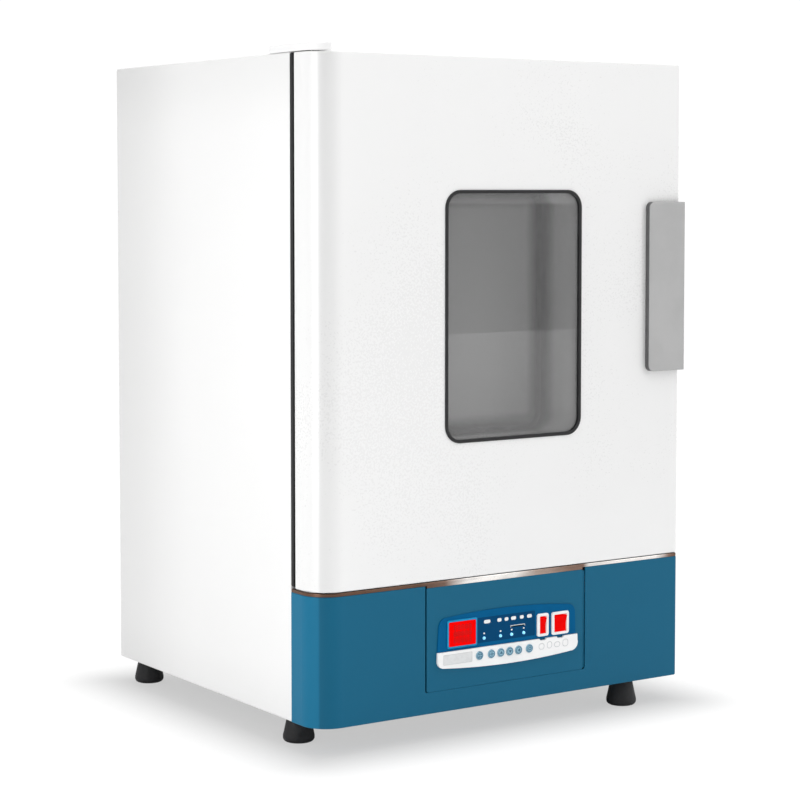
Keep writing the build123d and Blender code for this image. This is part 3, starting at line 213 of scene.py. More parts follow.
def brushed(name, colour, rough=(0.26, 0.42), grain=(1.0, 1.0, 60.0), metal=1.0, strength=0.10, smudge=0.05, shade_ramps=()):
    """Rolled or brushed steel: lines along two axes, cloudy finish, faint smudges."""
    m = Mat(name)
    m.set(Metallic=metal)
    lines = m.noise(38.0, 4.0, 0.7, stretch=grain)
    clouds = m.noise(7.0, 3.0, 0.5)
    tone = m.ramp(lines, [(0.30, shade(colour, 0.90)), (0.70, shade(colour, 1.08))])
    stain = m.ramp(clouds, [(0.35, shade((1, 1, 1), 1.0 - smudge)), (0.6, (1.0, 1.0, 1.0))], smooth=True)
    m.colour(m.paint_shade(m.mix(1.0, tone, stain, "MULTIPLY"), shade_ramps))
    m.rough(m.span(m.math("ADD", m.math("MULTIPLY", lines, 0.6), m.math("MULTIPLY", clouds, 0.4)), rough[0], rough[1], 0.35, 0.65))
    m.bump((lines, strength, 0.0003))
    return m.mat


def plated(name, colour, rough=(0.12, 0.28)):
    """Bright plating with fine drawing marks and slight tarnish."""
    m = Mat(name)
    m.set(Metallic=1.0)
    clouds = m.noise(45.0, 4.0, 0.6)
    fine = m.noise(700.0, 2.0, 0.5)
    m.colour(m.ramp(clouds, [(0.32, shade(colour, 0.86)), (0.55, colour), (0.75, shade(colour, 1.08))], smooth=True))
    m.rough(m.span(m.math("ADD", m.math("MULTIPLY", clouds, 0.7), m.math("MULTIPLY", fine, 0.3)), rough[0], rough[1], 0.35, 0.65))
    m.bump((fine, 0.05, 0.0002))
    return m.mat


def trim_metal(name):
    """Bronze-toned bright strip with a painted reflection along it: painted highlights at its middle and right, darker
    towards its ends.
    """
    m = Mat(name)
    m.set(Metallic=1.0)
    clouds = m.noise(14.0, 4.0, 0.6, stretch=(1.0, 1.0, 8.0))
    fine = m.noise(600.0, 2.0, 0.5, stretch=(0.1, 1.0, 1.0))
    dark, brown, beige, painted_highlight = (0.135, 0.078, 0.055), (0.24, 0.155, 0.12), (0.50, 0.39, 0.33), (0.86, 0.83, 0.80)
    # Painted reflection along the strip: dark ends, brown and beige stretches, and two painted highlights of near-white
    # metal.
    along = m.ramp(m.span(m.axis("X"), 0.0, 1.0, -0.276, 0.276), [
        (0.00, dark), (0.26, dark), (0.33, brown), (0.39, painted_highlight), (0.52, painted_highlight), (0.58, beige), (0.67, brown), (0.715, brown),
        (0.73, painted_highlight), (0.93, painted_highlight), (0.97, brown), (1.0, dark)])
    m.colour(m.mix(1.0, along, m.ramp(clouds, [(0.30, 0.72), (0.62, 1.0)], smooth=True), "MULTIPLY"))
    m.rough(m.span(fine, 0.16, 0.28))
    m.bump((fine, 0.05, 0.0002))
    return m.mat


def zinc(name, colour=(0.56, 0.57, 0.56)):
    """Galvanised sheet with its spangle."""
    m = Mat(name)
    m.set(Metallic=1.0)
    cells = m.voronoi(90.0)
    tone = m.ramp(cells, [(0.0, shade(colour, 0.86)), (0.35, colour), (0.8, shade(colour, 1.14))])
    m.colour(m.mix(0.35, tone, m.ramp(m.noise(12.0, 4.0, 0.6), [(0.35, shade(colour, 0.88)), (0.65, shade(colour, 1.06))]), "MIX"))
    m.rough(m.span(cells, 0.34, 0.52, 0.05, 0.6))
    m.bump((m.noise(240.0, 3.0, 0.5), 0.08, 0.0003))
    return m.mat


def moulded(name, colour, rough=(0.42, 0.55), grain=1400.0, strength=0.18, spec=0.5):
    """Moulded plastic with a spark-eroded grain."""
    m = Mat(name)
    m.set(Specular_IOR_Level=spec)
    fine = m.noise(grain, 2.0, 0.6)
    clouds = m.noise(26.0, 3.0, 0.5)
    m.colour(m.ramp(clouds, [(0.30, shade(colour, 0.955)), (0.70, shade(colour, 1.03))], smooth=True))
    m.rough(m.span(m.math("ADD", m.math("MULTIPLY", fine, 0.5), m.math("MULTIPLY", clouds, 0.5)), rough[0], rough[1], 0.35, 0.65))
    m.bump((fine, strength, 0.00012))
    return m.mat


def two_tone(name, face, side, y_edge):
    """Moulding with a light front face and a darker body behind it."""
    m = Mat(name)
    fine = m.noise(900.0, 2.0, 0.6)
    clouds = m.noise(26.0, 3.0, 0.5)
    split = m.span(m.axis("Y"), 0.0, 1.0, y_edge - 0.0004, y_edge + 0.0004)
    light = m.ramp(clouds, [(0.30, shade(face, 0.96)), (0.70, shade(face, 1.03))], smooth=True)
    dark = m.ramp(clouds, [(0.30, shade(side, 0.92)), (0.70, shade(side, 1.06))], smooth=True)
    m.colour(m.mix(split, light, dark))
    m.rough(m.span(m.math("ADD", m.math("MULTIPLY", fine, 0.5), m.math("MULTIPLY", clouds, 0.5)), 0.36, 0.50, 0.35, 0.65))
    m.bump((fine, 0.16, 0.00012))
    return m.mat


def rubber(name, colour, rough=(0.55, 0.75)):
    m = Mat(name)
    m.set(Specular_IOR_Level=0.35)
    fine = m.noise(900.0, 3.0, 0.6)
    bloom = m.noise(60.0, 4.0, 0.6)
    m.colour(m.ramp(bloom, [(0.35, colour), (0.75, tuple(v * 1.5 + 0.006 for v in colour))], smooth=True))
    m.rough(m.span(bloom, rough[0], rough[1]))
    m.bump((fine, 0.25, 0.0002), (m.noise(180.0, 2.0, 0.5), 0.12, 0.0003))
    return m.mat


def wool(name):
    """Mineral wool: tangled fibres in yellow-brown."""
    m = Mat(name)
    m.set(Specular_IOR_Level=0.1, Sheen_Weight=0.3)
    fibres = m.noise(260.0, 5.0, 0.7, stretch=(1.0, 1.0, 6.0), distort=1.6)
    tufts = m.noise(28.0, 4.0, 0.6)
    tone = m.ramp(fibres, [(0.30, (0.30, 0.22, 0.09)), (0.55, (0.56, 0.45, 0.22)), (0.75, (0.72, 0.62, 0.38))])
    m.colour(m.mix(m.span(tufts, 0.0, 0.5), tone, (0.42, 0.34, 0.17)))
    m.rough(m.span(fibres, 0.85, 1.0))
    m.bump((fibres, 0.6, 0.001), (tufts, 0.4, 0.004))
    return m.mat


def lit(name, colour, glow, strength, rough=(0.10, 0.22)):
    """Coloured clear plastic, lit a little from behind, with moulding ripples."""
    m = Mat(name)
    m.set(Specular_IOR_Level=0.02, Emission_Strength=strength)
    spots = m.noise(180.0, 3.0, 0.5)
    clouds = m.noise(55.0, 2.0, 0.5)
    m.colour(m.ramp(clouds, [(0.30, shade(colour, 0.93)), (0.70, shade(colour, 1.04))], smooth=True))
    m.link(m.ramp(clouds, [(0.28, shade(glow, 0.90)), (0.72, glow)], smooth=True), m.bsdf.inputs["Emission Color"])
    m.rough(m.span(spots, rough[0], rough[1]))
    m.bump((spots, 0.04, 0.0002))
    return m.mat


def pane(name, tint, alpha, rough=(0.02, 0.05), spec=1.0, ior=1.5, shade_ramps=()):
    """Toughened glass with a grey film: partly see-through, glossy, very slightly wavy. Its shade ramps paint a dark
    shaded border fading inward.
    """
    m = Mat(name)
    m.set(IOR=ior, Specular_IOR_Level=spec, Alpha=alpha)
    film = m.noise(9.0, 4.0, 0.55)
    m.colour(m.paint_shade(m.ramp(film, [(0.32, shade(tint, 0.975)), (0.68, tint)], smooth=True), shade_ramps))
    m.rough(m.span(m.noise(22.0, 4.0, 0.6), rough[0], rough[1]))
    m.bump((m.noise(3.0, 1.0, 0.4), 0.01, 0.0006))
    return m.mat


def board(name):
    """Circuit board: green mask over copper runs."""
    m = Mat(name)
    brick = m.node("ShaderNodeTexBrick", offset=0.5, squash=1.0)
    brick.inputs["Scale"].default_value = 160.0
    brick.inputs["Mortar Size"].default_value = 0.045
    brick.inputs["Color1"].default_value = (0.012, 0.13, 0.045, 1)
    brick.inputs["Color2"].default_value = (0.016, 0.17, 0.06, 1)
    brick.inputs["Mortar"].default_value = (0.05, 0.28, 0.10, 1)
    m.link(m.place((1.0, 1.0, 1.0), (math.pi / 2, 0.0, 0.0)), brick.inputs["Vector"])
    m.colour(m.mix(m.span(m.noise(30.0), 0.0, 0.35), brick.outputs["Color"], (0.02, 0.10, 0.045)))
    m.rough(m.span(brick.outputs["Fac"], 0.25, 0.45, 0.0, 1.0))
    m.bump((brick.outputs["Fac"], 0.15, 0.0002))
    return m.mat


def printed(name, colour, rough=(0.45, 0.6), glow=0.0):
    """Screen-printed ink with slightly uneven cover."""
    m = Mat(name)
    m.set(Specular_IOR_Level=0.3)
    grain = m.noise(1600.0, 2.0, 0.6)
    m.colour(m.ramp(m.noise(240.0, 3.0, 0.5), [(0.30, shade(colour, 0.93)), (0.65, colour)], smooth=True))
    m.rough(m.span(grain, rough[0], rough[1]))
    m.bump((grain, 0.08, 0.0001))
    # glow paints light into the ink: it emits though the ink is no lamp
    if glow:
        m.set(Emission_Strength=glow)
        m.link(m.ramp(grain, [(0.2, shade(colour, 0.95)), (0.7, colour)]), m.bsdf.inputs["Emission Color"])
    return m.mat


WHITE = (0.855, 0.855, 0.852)
M = {
    "white_enamel": enamel("white_enamel", WHITE),
    # The ramps paint shade into white_casing: darker towards the back and towards the top. It is also a little darker
    # towards the bottom.
    "white_casing": enamel("white_casing", WHITE, shade_ramps=(("Y", 0.02, 0.23, 1.0, 0.87), ("Z", 0.72, 0.825, 1.0, 0.93), ("Z", 0.033, 0.10, 0.97, 1.0))),
    # white_door: painted light and shade at the rounded front-left corner, the side face lighter and a darker band
    # round the corner.
    "white_door": enamel("white_door", (0.985, 0.985, 0.982), rough=(0.26, 0.32), spec=0.8, peel=0.02, dust=0.02,
                         shade_ramps=(("X", P(8, 0, 0).x, P(10.5, 0, 0).x, 1.0, 0.878), ("X", P(11, 0, 0).x, P(40, 0, 0).x, 0.835, 1.0))),
    # blue_enamel: painted light and shade at the rounded front-left corner, the side face lighter and a darker band
    # round the corner.
    "blue_enamel": enamel("blue_enamel", (0.0058, 0.168, 0.309), rough=(0.40, 0.52), spec=0.16, peel=0.05,
                          shade_ramps=(("X", P(8, 0, 0).x, P(10.5, 0, 0).x, 1.0, 0.69), ("X", P(11, 0, 0).x, P(36, 0, 0).x, 0.89, 1.0))),
    "blue_film": moulded("blue_film", (0.0006, 0.105, 0.262), rough=(0.42, 0.52), grain=1100.0, strength=0.08, spec=0.04),
    "teal_film": moulded("teal_film", (0.0008, 0.058, 0.158), rough=(0.42, 0.52), grain=1100.0, strength=0.08, spec=0.04),
    "cyan_frame": moulded("cyan_frame", (0.002, 0.27, 0.53), rough=(0.35, 0.45), grain=1100.0, strength=0.06, spec=0.2),
    "stainless": brushed("stainless", (0.60, 0.595, 0.585), grain=(1.0, 1.0, 45.0)),
    "stainless_side": brushed("stainless_side", (0.60, 0.595, 0.585), grain=(30.0, 1.0, 1.0)),
    "liner": brushed("liner", (0.56, 0.56, 0.555), rough=(0.34, 0.50), grain=(1.0, 1.0, 30.0), strength=0.07, smudge=0.10),
    "plug": brushed("plug", (0.60, 0.60, 0.59), rough=(0.30, 0.44), grain=(26.0, 1.0, 1.0)),
    "bright": plated("bright", (0.66, 0.66, 0.66)),
    "trim": trim_metal("trim"),
    "zinc": zinc("zinc"),
    "cast": brushed("cast", (0.55, 0.55, 0.56), rough=(0.38, 0.55), grain=(3.0, 3.0, 3.0), strength=0.2),
    "motor": moulded("motor", (0.055, 0.057, 0.06), rough=(0.36, 0.5), grain=500.0, strength=0.3),
    "heater": brushed("heater", (0.16, 0.14, 0.125), rough=(0.45, 0.62), grain=(8.0, 8.0, 8.0), strength=0.2, smudge=0.3),
    "ferrite": moulded("ferrite", (0.045, 0.045, 0.048), rough=(0.5, 0.66), grain=700.0, strength=0.3),
    "wool": wool("wool"),
    "grip": two_tone("grip", (0.435, 0.435, 0.435), (0.10, 0.10, 0.102), P(0, -7.0, 0).y),
    "cup": moulded("cup", (0.10, 0.10, 0.105), rough=(0.42, 0.55), grain=900.0, strength=0.2),
    "black_plastic": moulded("black_plastic", (0.022, 0.022, 0.024), rough=(0.36, 0.5), grain=1000.0, strength=0.2),
    "white_plastic": moulded("white_plastic", (0.93, 0.93, 0.93), rough=(0.28, 0.38), grain=1200.0, strength=0.06),
    "cap_plastic": enamel("cap_plastic", (0.86, 0.86, 0.86), rough=(0.28, 0.40)),
    "key_plastic": moulded("key_plastic", (0.25, 0.46, 0.58), rough=(0.38, 0.5), grain=1200.0, strength=0.12),
    "bush_plastic": moulded("bush_plastic", (0.30, 0.29, 0.27), rough=(0.4, 0.55), grain=900.0, strength=0.1),
    "black_rubber": rubber("black_rubber", (0.010, 0.010, 0.011)),
    "gasket_rubber": rubber("gasket_rubber", (0.008, 0.008, 0.009), rough=(0.45, 0.6)),
    "silicone": rubber("silicone", (0.36, 0.355, 0.34), rough=(0.45, 0.62)),
    "wire": rubber("wire", (0.03, 0.03, 0.035), rough=(0.4, 0.55)),
    "glass_outer": pane("glass_outer", (0.25, 0.25, 0.251), 0.32, rough=(0.006, 0.016), ior=1.7),
    # glass_inner: painted shade, a dark border fading inward from the inner pane's edges.
    "glass_inner": pane("glass_inner", (0.86, 0.86, 0.86), 0.85, spec=0.5, shade_ramps=(
        ("X", P(361, 0, 0).x, P(384, 0, 0).x, 1.0, 0.05), ("X", P(185, 0, 0).x, P(208, 0, 0).x, 0.05, 1.0),
        ("Z", P(0, 0, 603).z, P(0, 0, 626).z, 1.0, 0.05), ("Z", P(0, 0, 329).z, P(0, 0, 352).z, 0.05, 1.0))),
    # reveal: painted shade, darker deeper into the window tunnel, towards the back.
    "reveal": brushed("reveal", (0.72, 0.72, 0.72), rough=(0.50, 0.62), grain=(1.0, 1.0, 26.0), metal=0.2, strength=0.06,
                      shade_ramps=(("Y", P(0, 48, 0).y, P(0, 78, 0).y, 1.0, 0.12),)),
    "red_rocker": lit("red_rocker", (0.42, 0.0008, 0.0008), (1.0, 0.0, 0.0), 0.50),
    "red_lens": lit("red_lens", (0.42, 0.0003, 0.0003), (1.0, 0.0, 0.0), 0.60),
    "blue_led": lit("blue_led", (0.28, 0.62, 0.80), (0.20, 0.62, 0.95), 0.75),
    "board": board("board"),
    "ink_white": printed("ink_white", (0.90, 0.92, 0.92)),
    "ink_slate": printed("ink_slate", (0.045, 0.145, 0.235)),
    "ink_grey": printed("ink_grey", (0.66, 0.67, 0.68)),
    "ink_pale": printed("ink_pale", (0.76, 0.77, 0.775)),
    "ink_digit": printed("ink_digit", (0.09, 0.0, 0.0), glow=0.40),
    "ink_pink": printed("ink_pink", (0.95, 0.42, 0.42), glow=0.2),
    "brass": plated("brass", (0.62, 0.46, 0.20)),
}

LOOK = {
    "outer_casing": "white_casing", "rear_panel": "white_enamel", "base_pan": "zinc", "chamber_deck": "zinc",
    "front_frame": "white_enamel", "chamber_liner": "liner", "cabinet_insulation": "wool", "air_baffle": "stainless",
    "fan_impeller": "cast", "fan_shaft": "bright", "fan_motor": "motor", "motor_cover": "white_enamel",
    "heater_elements": "heater", "exhaust_pipe": "stainless", "exhaust_damper": "stainless",
    "temperature_probe": "bright", "shelf_rails": "stainless_side", "wire_shelf_upper": "bright",
    "wire_shelf_lower": "bright", "door_skin": "white_door", "handle_cup": "cup", "door_handle": "grip",
    "door_inner_panel": "plug", "door_insulation": "wool", "window_tunnel": "reveal", "outer_glass": "glass_outer",
    "inner_glass": "glass_inner", "window_gasket": "gasket_rubber", "door_seal": "silicone",
    "catch_magnets": "ferrite", "hinge_bushes": "bush_plastic", "door_screws": "bright",
    "top_hinge_bracket": "zinc", "bottom_hinge_bracket": "zinc", "hinge_pins": "bright", "hinge_cap": "cap_plastic",
    "catch_plates": "zinc", "cabinet_screws": "bright", "feet": "black_rubber", "lower_front_panel": "blue_enamel",
    "control_fascia": "blue_enamel", "trim_strip": "trim", "display_panel": "blue_film", "key_strip": "white_plastic",
    "display_lens": "red_lens", "indicator_leds": "blue_led", "switch_bezels": "white_plastic",
    "small_rocker": "red_rocker", "large_rocker": "red_rocker", "controller_board": "board",
    "heater_relay": "black_plastic", "power_inlet": "black_plastic", "wiring_harness": "wire",
}
for k in range(1, 7):
    LOOK[f"key_{k}"] = "key_plastic"
for name, obj in NODES.items():
    obj.data.materials.clear()
    obj.data.materials.append(M[LOOK[name]])


# ---------------------------------------------------------------------------
# Mesh helpers
# ---------------------------------------------------------------------------


def make(name, verts, faces, material, body, smooth=True, replaces=()):
    mesh = bpy.data.meshes.new(name)
    mesh.from_pydata([tuple(v) for v in verts], [], faces)
    mesh.validate()
    bm = bmesh.new()
    bm.from_mesh(mesh)
    bmesh.ops.recalc_face_normals(bm, faces=bm.faces)
    bm.to_mesh(mesh)
    bm.free()
    obj = bpy.data.objects.new(name, mesh)
    bpy.context.scene.collection.objects.link(obj)
    mesh.materials.append(M[material])
    if smooth:
        mesh.shade_smooth()
        mesh.set_sharp_from_angle(angle=math.radians(35))
    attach(obj, body)
    if replaces:
        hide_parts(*replaces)
    return obj


def rounded(w, h, r, n=8, cx=0.0, cz=0.0):
    """Points of a rounded rectangle, counter-clockwise, in millimetres."""
    r = min(r, w / 2 - 1e-4, h / 2 - 1e-4)
    pts = []
    for ox, oz, start in ((w / 2 - r, h / 2 - r, 0), (-w / 2 + r, h / 2 - r, 90), (-w / 2 + r, -h / 2 + r, 180), (w / 2 - r, -h / 2 + r, 270)):
        for i in range(n + 1):
            a = math.radians(start + 90 * i / n)
            pts.append((cx + ox + r * math.cos(a), cz + oz + r * math.sin(a)))
    return pts


def ring(r, n=40, cx=0.0, cz=0.0):
    return [(cx + r * math.cos(2 * math.pi * i / n), cz + r * math.sin(2 * math.pi * i / n)) for i in range(n)]


def plate(name, outlines, y_front, thick, material, body, bevel=0.0, replaces=()):
    """A flat piece facing the front, cut from closed outlines (holes too), from y_front back by thick. All in cabinet millimetres."""
    curve = bpy.data.curves.new(name, "CURVE")
    curve.dimensions = "2D"
    curve.fill_mode = "BOTH"
    for pts in outlines:
        s = curve.splines.new("POLY")
        s.points.add(len(pts) - 1)
        for p, (x, z) in zip(s.points, pts):
            p.co = (x / 1000, z / 1000, 0, 1)
        s.use_cyclic_u = True
    curve.extrude = (thick / 2 - bevel) / 1000
    curve.bevel_depth = bevel / 1000
    curve.bevel_resolution = 2 if bevel else 0
    if bevel:
        curve.offset = -bevel / 1000
    tmp = bpy.data.objects.new(name + "_c", curve)
    bpy.context.scene.collection.objects.link(tmp)
    bpy.context.view_layer.update()
    mesh = bpy.data.meshes.new_from_object(tmp.evaluated_get(bpy.context.evaluated_depsgraph_get()))
    bpy.data.objects.remove(tmp)
    bm = bmesh.new()
    bm.from_mesh(mesh)
    bmesh.ops.remove_doubles(bm, verts=bm.verts, dist=1e-6)
    turn = Matrix.Rotation(math.pi / 2, 4, "X")
    origin = P(0, y_front + thick / 2, 0)
    bm.transform(Matrix.Translation(origin) @ turn)
    bmesh.ops.recalc_face_normals(bm, faces=bm.faces)
    bm.to_mesh(mesh)
    bm.free()
    mesh.name = name
    obj = bpy.data.objects.new(name, mesh)
    bpy.context.scene.collection.objects.link(obj)
    mesh.materials.clear()
    mesh.materials.append(M[material])
    mesh.shade_smooth()
    mesh.set_sharp_from_angle(angle=math.radians(35))
    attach(obj, body)
    if replaces:
        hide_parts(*replaces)
    return obj


def screw_mesh(verts, faces, at, out, r, h, shank, length, spin=0.0):
    """Adds one cross-recess pan head screw. at is the seat in metres, out the way the head faces."""
    out = Vector(out).normalized()
    side = Vector((0, 0, 1)).cross(out)
    if side.length < 0.1:
        side = Vector((1, 0, 0))
    side.normalize()
    up = out.cross(side)
    side, up = side * math.cos(spin) + up * math.sin(spin), up * math.cos(spin) - side * math.sin(spin)
    seg, base = 48, len(verts)
    rings = [0.0, 0.14, 0.22, 0.30, 0.38, 0.46, 0.54, 0.62, 0.74, 0.86, 0.95, 1.0]
    arm = 0.14 * r
    for q in rings:
        for i in range(seg):
            a = 2 * math.pi * i / seg
            x, z = q * r * math.cos(a), q * r * math.sin(a)
            dome = h * (1.0 - 0.55 * q * q if q < 0.95 else 0.42)
            deep = 0.0
            reach = 0.58 * r
            if min(abs(x), abs(z)) <= arm and max(abs(x), abs(z)) < reach:
                deep = 0.55 * h * (1.0 - 0.55 * max(abs(x), abs(z)) / reach)
            verts.append(at + (side * x + up * z + out * (dome - deep) * 1.0) / 1000.0)
    for j in range(len(rings) - 1):
        for i in range(seg):
            a, b = base + j * seg + i, base + j * seg + (i + 1) % seg
            faces.append((a, b, b + seg, a + seg))
    faces.append(tuple(base + i for i in range(seg))[::-1])
    last = base + (len(rings) - 1) * seg
    for q, lift in ((1.0, 0.0), (shank / r, 0.0), (shank / r, -length)):
        start = len(verts)
        for i in range(seg):
            a = 2 * math.pi * i / seg
            verts.append(at + (side * (q * r * math.cos(a)) + up * (q * r * math.sin(a)) + out * lift) / 1000.0)
        for i in range(seg):
            faces.append((last + i, last + (i + 1) % seg, start + (i + 1) % seg, start + i))
        last = start
    faces.append(tuple(last + i for i in range(seg)))


# ---------------------------------------------------------------------------
# Screws
# ---------------------------------------------------------------------------

rng = random.Random(11)
verts, faces = [], []
rear = [(10.0, z) for z in (40.0, 215.0, 400.0, 585.0, 750.0)] + [(540.0, z) for z in (40.0, 215.0, 400.0, 585.0, 750.0)] + [(150.0, 781.0), (400.0, 781.0)]
for x, z in rear:
    screw_mesh(verts, faces, P(x, 504, z), (0, 1, 0), 4.2, 2.2, 2.0, 8.0, rng.uniform(0, 1.5))
for x in (99.0, 451.0):
    for z in (415.0, 541.0):
        screw_mesh(verts, faces, P(x, 505.2, z), (0, 1, 0), 4.0, 2.2, 2.0, 1.2, rng.uniform(0, 1.5))
for a in (-34, 34):
    for b in (-34, 34):
        screw_mesh(verts, faces, P(275 + a, 505.5, 655 + b), (0, 1, 0), 4.0, 2.2, 2.0, 1.5, rng.uniform(0, 1.5))
for a in (-42, 42):
    for b in (-42, 42):
        screw_mesh(verts, faces, P(275 + a, 506, 478 + b), (0, 1, 0), 4.5, 2.6, 2.5, 2.0, rng.uniform(0, 1.5))
for y in (72, 90):
    screw_mesh(verts, faces, P(11.3, y, 795), (0, 0, 1), 4.2, 2.2, 2.5, 4.0, rng.uniform(0, 1.5))
make("screws_cabinet", verts, faces, "bright", "cabinet", replaces=("cabinet_screws",))

verts, faces = [], []
for x in (30.0, 520.0):
    for z in (200.0, 390.0, 570.0, 755.0):
        screw_mesh(verts, faces, P(x, 48, z), (0, 1, 0), 4.0, 2.4, 2.0, 6.0, rng.uniform(0, 1.5))
for z in (425.0, 507.0, 589.0):
    screw_mesh(verts, faces, P(501, 1.2, z), (0, 1, 0), 3.6, 2.2, 2.0, 4.2, rng.uniform(0, 1.5))
make("screws_door", verts, faces, "bright", "door", replaces=("door_screws",))

# ---------------------------------------------------------------------------
# Door seal: hollow-bulb silicone profile run round the door's back
# ---------------------------------------------------------------------------

profile = [
    (0.0, 0.05), (0.0, 2.2), (0.7, 2.8), (2.2, 2.9), (2.9, 3.6), (3.0, 5.6), (3.6, 7.6), (5.2, 9.0), (7.2, 9.55),
    (9.2, 9.3), (10.8, 8.2), (11.7, 6.4), (11.9, 4.6), (12.4, 4.0), (13.6, 4.6), (14.9, 6.4), (15.6, 6.3), (15.2, 4.0),
    (14.6, 2.4), (15.4, 1.6), (15.9, 0.8), (15.9, 0.05),
]
outline_n = 10
verts, faces = [], []
count = 4 * (outline_n + 1)
for off, rise in profile:
    for x, z in rounded(440 - 2 * off, 490 - 2 * off, 28 - off * 0.875, outline_n, 275, 478):
        verts.append(P(x, 48 + rise, z))
for j in range(len(profile)):
    k = (j + 1) % len(profile)
    for i in range(count):
        n = (i + 1) % count
        faces.append((j * count + i, j * count + n, k * count + n, k * count + i))
make("seal_profile", verts, faces, "silicone", "door", replaces=("door_seal",))

# Black rubber strip on the cabinet's front return, seen in the gap behind the door: painted shade, a dark strip that
# darkens the gap.
profile = [(0.3, 0.0), (0.3, 3.4), (1.2, 4.6), (2.6, 4.9), (4.0, 4.6), (5.0, 3.6), (5.6, 2.0), (8.6, 1.8), (9.4, 1.2), (9.4, 0.0)]
verts, faces = [], []
count = 4 * 5
for off, rise in profile:
    for x, z in rounded(550 - 2 * off, 628 - 2 * off, 2.5, 4, 275, 476):
        verts.append(P(x, 58 - rise, z))
for j in range(len(profile)):
    k = (j + 1) % len(profile)
    for i in range(count):
        n = (i + 1) % count
        faces.append((j * count + i, j * count + n, k * count + n, k * count + i))
make("gap_shade_strip", verts, faces, "gasket_rubber", "cabinet")

# Painted packing strip, set back in the wide seam at the fascia's right side
plate("seam_packing", [rounded(3.7, 124.0, 0.8, 3, 395.35, 89.6)], 1.4, 1.2, "blue_enamel", "cabinet", bevel=0.2)

# ---------------------------------------------------------------------------
# Control panel prints
# ---------------------------------------------------------------------------

LEDS = [238.9, 263.8, 280.8, 299.4]
plate(
    "panel_field",
    [rounded(90.5, 31.0, 2.0, 6, 271.8, 94.0)] + [ring(2.25, 32, x, 83.8) for x in LEDS],
    -1.32, 0.12, "teal_film", "cabinet",
)
plate(
    "display_frame",
    [rounded(44.6, 34.4, 2.2, 6, 205.7, 93.7), rounded(40.0, 29.8, 1.1, 6, 205.7, 93.7)],
    -2.3, 1.1, "cyan_frame", "cabinet", bevel=0.25,
)
marks = []
for x, w in ((243.4, 9.0), (262.0, 6.0), (272.8, 5.4), (283.6, 7.2), (296.4, 5.6), (308.2, 7.0)):
    marks.append(rounded(w * 1.06, 4.3, 1.9, 6, x, 103.7))
for x in LEDS:
    marks.append(rounded(2.4, 2.0, 0.9, 5, x, 89.6))
marks.append(rounded(22.0, 0.7, 0.3, 3, 290.1, 94.6))
marks.append(rounded(0.7, 2.2, 0.3, 3, 279.3, 93.6))
marks.append(rounded(0.7, 2.2, 0.3, 3, 300.9, 93.6))
plate("panel_marks", marks, -1.44, 0.12, "ink_white", "cabinet")

# blank field and faint fields on the key strip
plate(
    "strip_field_edge",
    [rounded(43.0, 12.6, 1.2, 5, 198.4, 63.6), rounded(41.6, 11.2, 0.7, 5, 198.4, 63.6)],
    -3.1, 0.1, "ink_grey", "cabinet",
)
plate("strip_field", [rounded(41.5, 11.1, 0.7, 5, 198.4, 63.6)], -3.08, 0.08, "ink_pale", "cabinet")
marks = []
for i, (x, w, h) in enumerate(((326.0, 9.0, 8.0), (338.5, 8.0, 9.0), (350.5, 9.5, 7.0), (363.5, 9.0, 9.5))):
    marks.append(rounded(w, h, 3.6, 6, x, 63.6 + 0.6 * (i % 2)))
    marks.append(rounded(w - 1.8, h - 1.8, 2.8, 6, x, 63.6 + 0.6 * (i % 2)))
plate("strip_marks", marks, -3.1, 0.1, "ink_grey", "cabinet")

KEYS = [230.8, 248.7, 263.0, 276.6, 290.2, 306.9]
KZ = 63.5


def glyph(k, x):
    g = []
    if k == 0:
        for dx in (-1.5, 1.5):
            for dz in (-1.5, 1.5):
                g.append(rounded(2.0, 2.0, 0.3, 3, x + dx, KZ + dz))
    elif k == 1:
        g.append([(x - 2.9, KZ - 0.5), (x - 0.5, KZ - 0.5), (x - 0.5, KZ - 2.9), (x + 0.5, KZ - 2.9), (x + 0.5, KZ - 0.5), (x + 2.9, KZ - 0.5),
                  (x + 2.9, KZ + 0.5), (x + 0.5, KZ + 0.5), (x + 0.5, KZ + 2.9), (x - 0.5, KZ + 2.9), (x - 0.5, KZ + 0.5), (x - 2.9, KZ + 0.5)])
    elif k == 2:
        g.append([(x - 2.4, KZ - 1.5), (x + 2.4, KZ - 1.5), (x, KZ + 2.2)])
    elif k == 3:
        g.append([(x - 2.4, KZ + 1.5), (x, KZ - 2.2), (x + 2.4, KZ + 1.5)])
    elif k == 4:
        g.append([(x + 1.6, KZ - 2.4), (x + 1.6, KZ + 2.4), (x - 2.1, KZ)])
    else:
        g.append(ring(2.4, 28, x, KZ))
        g.append(ring(1.3, 28, x, KZ))
    return g


for k, x in enumerate(KEYS):
    plate(f"key_mark_{k + 1}", [ring(4.35, 40, x, KZ), ring(3.55, 40, x, KZ)] + glyph(k, x), -4.28, 0.1, "ink_slate", f"key_{k + 1}")

# seven-segment digits, unlit, behind the red window's face; their ink has a faint painted glow
SEG = {"a": (0, 1, 1), "g": (0, 0, 1), "d": (0, -1, 1), "f": (-1, 0.5, 0), "b": (1, 0.5, 0), "e": (-1, -0.5, 0), "c": (1, -0.5, 0)}
segs = []
for row_z, w, h, t, n, pitch in ((101.6, 3.3, 5.4, 0.7, 5, 5.5), (93.7, 3.6, 5.4, 1.0, 5, 5.5), (85.8, 3.3, 5.4, 0.7, 5, 5.5)):
    for i in range(n):
        cx = 205.7 + (i - (n - 1) / 2) * pitch
        for sx, sz, flat in SEG.values():
            x, z = cx + sx * w / 2, row_z + sz * h / 2
            if flat:
                segs.append(rounded(w - t * 1.6, t, 0.3, 2, x, z))
            else:
                segs.append(rounded(t, h / 2 - t * 1.3, 0.3, 2, x, z))
plate("display_digits", segs, -2.66, 0.08, "ink_digit", "cabinet")

# ---------------------------------------------------------------------------
# Mains inlet: shell with recess and three blades
# ---------------------------------------------------------------------------

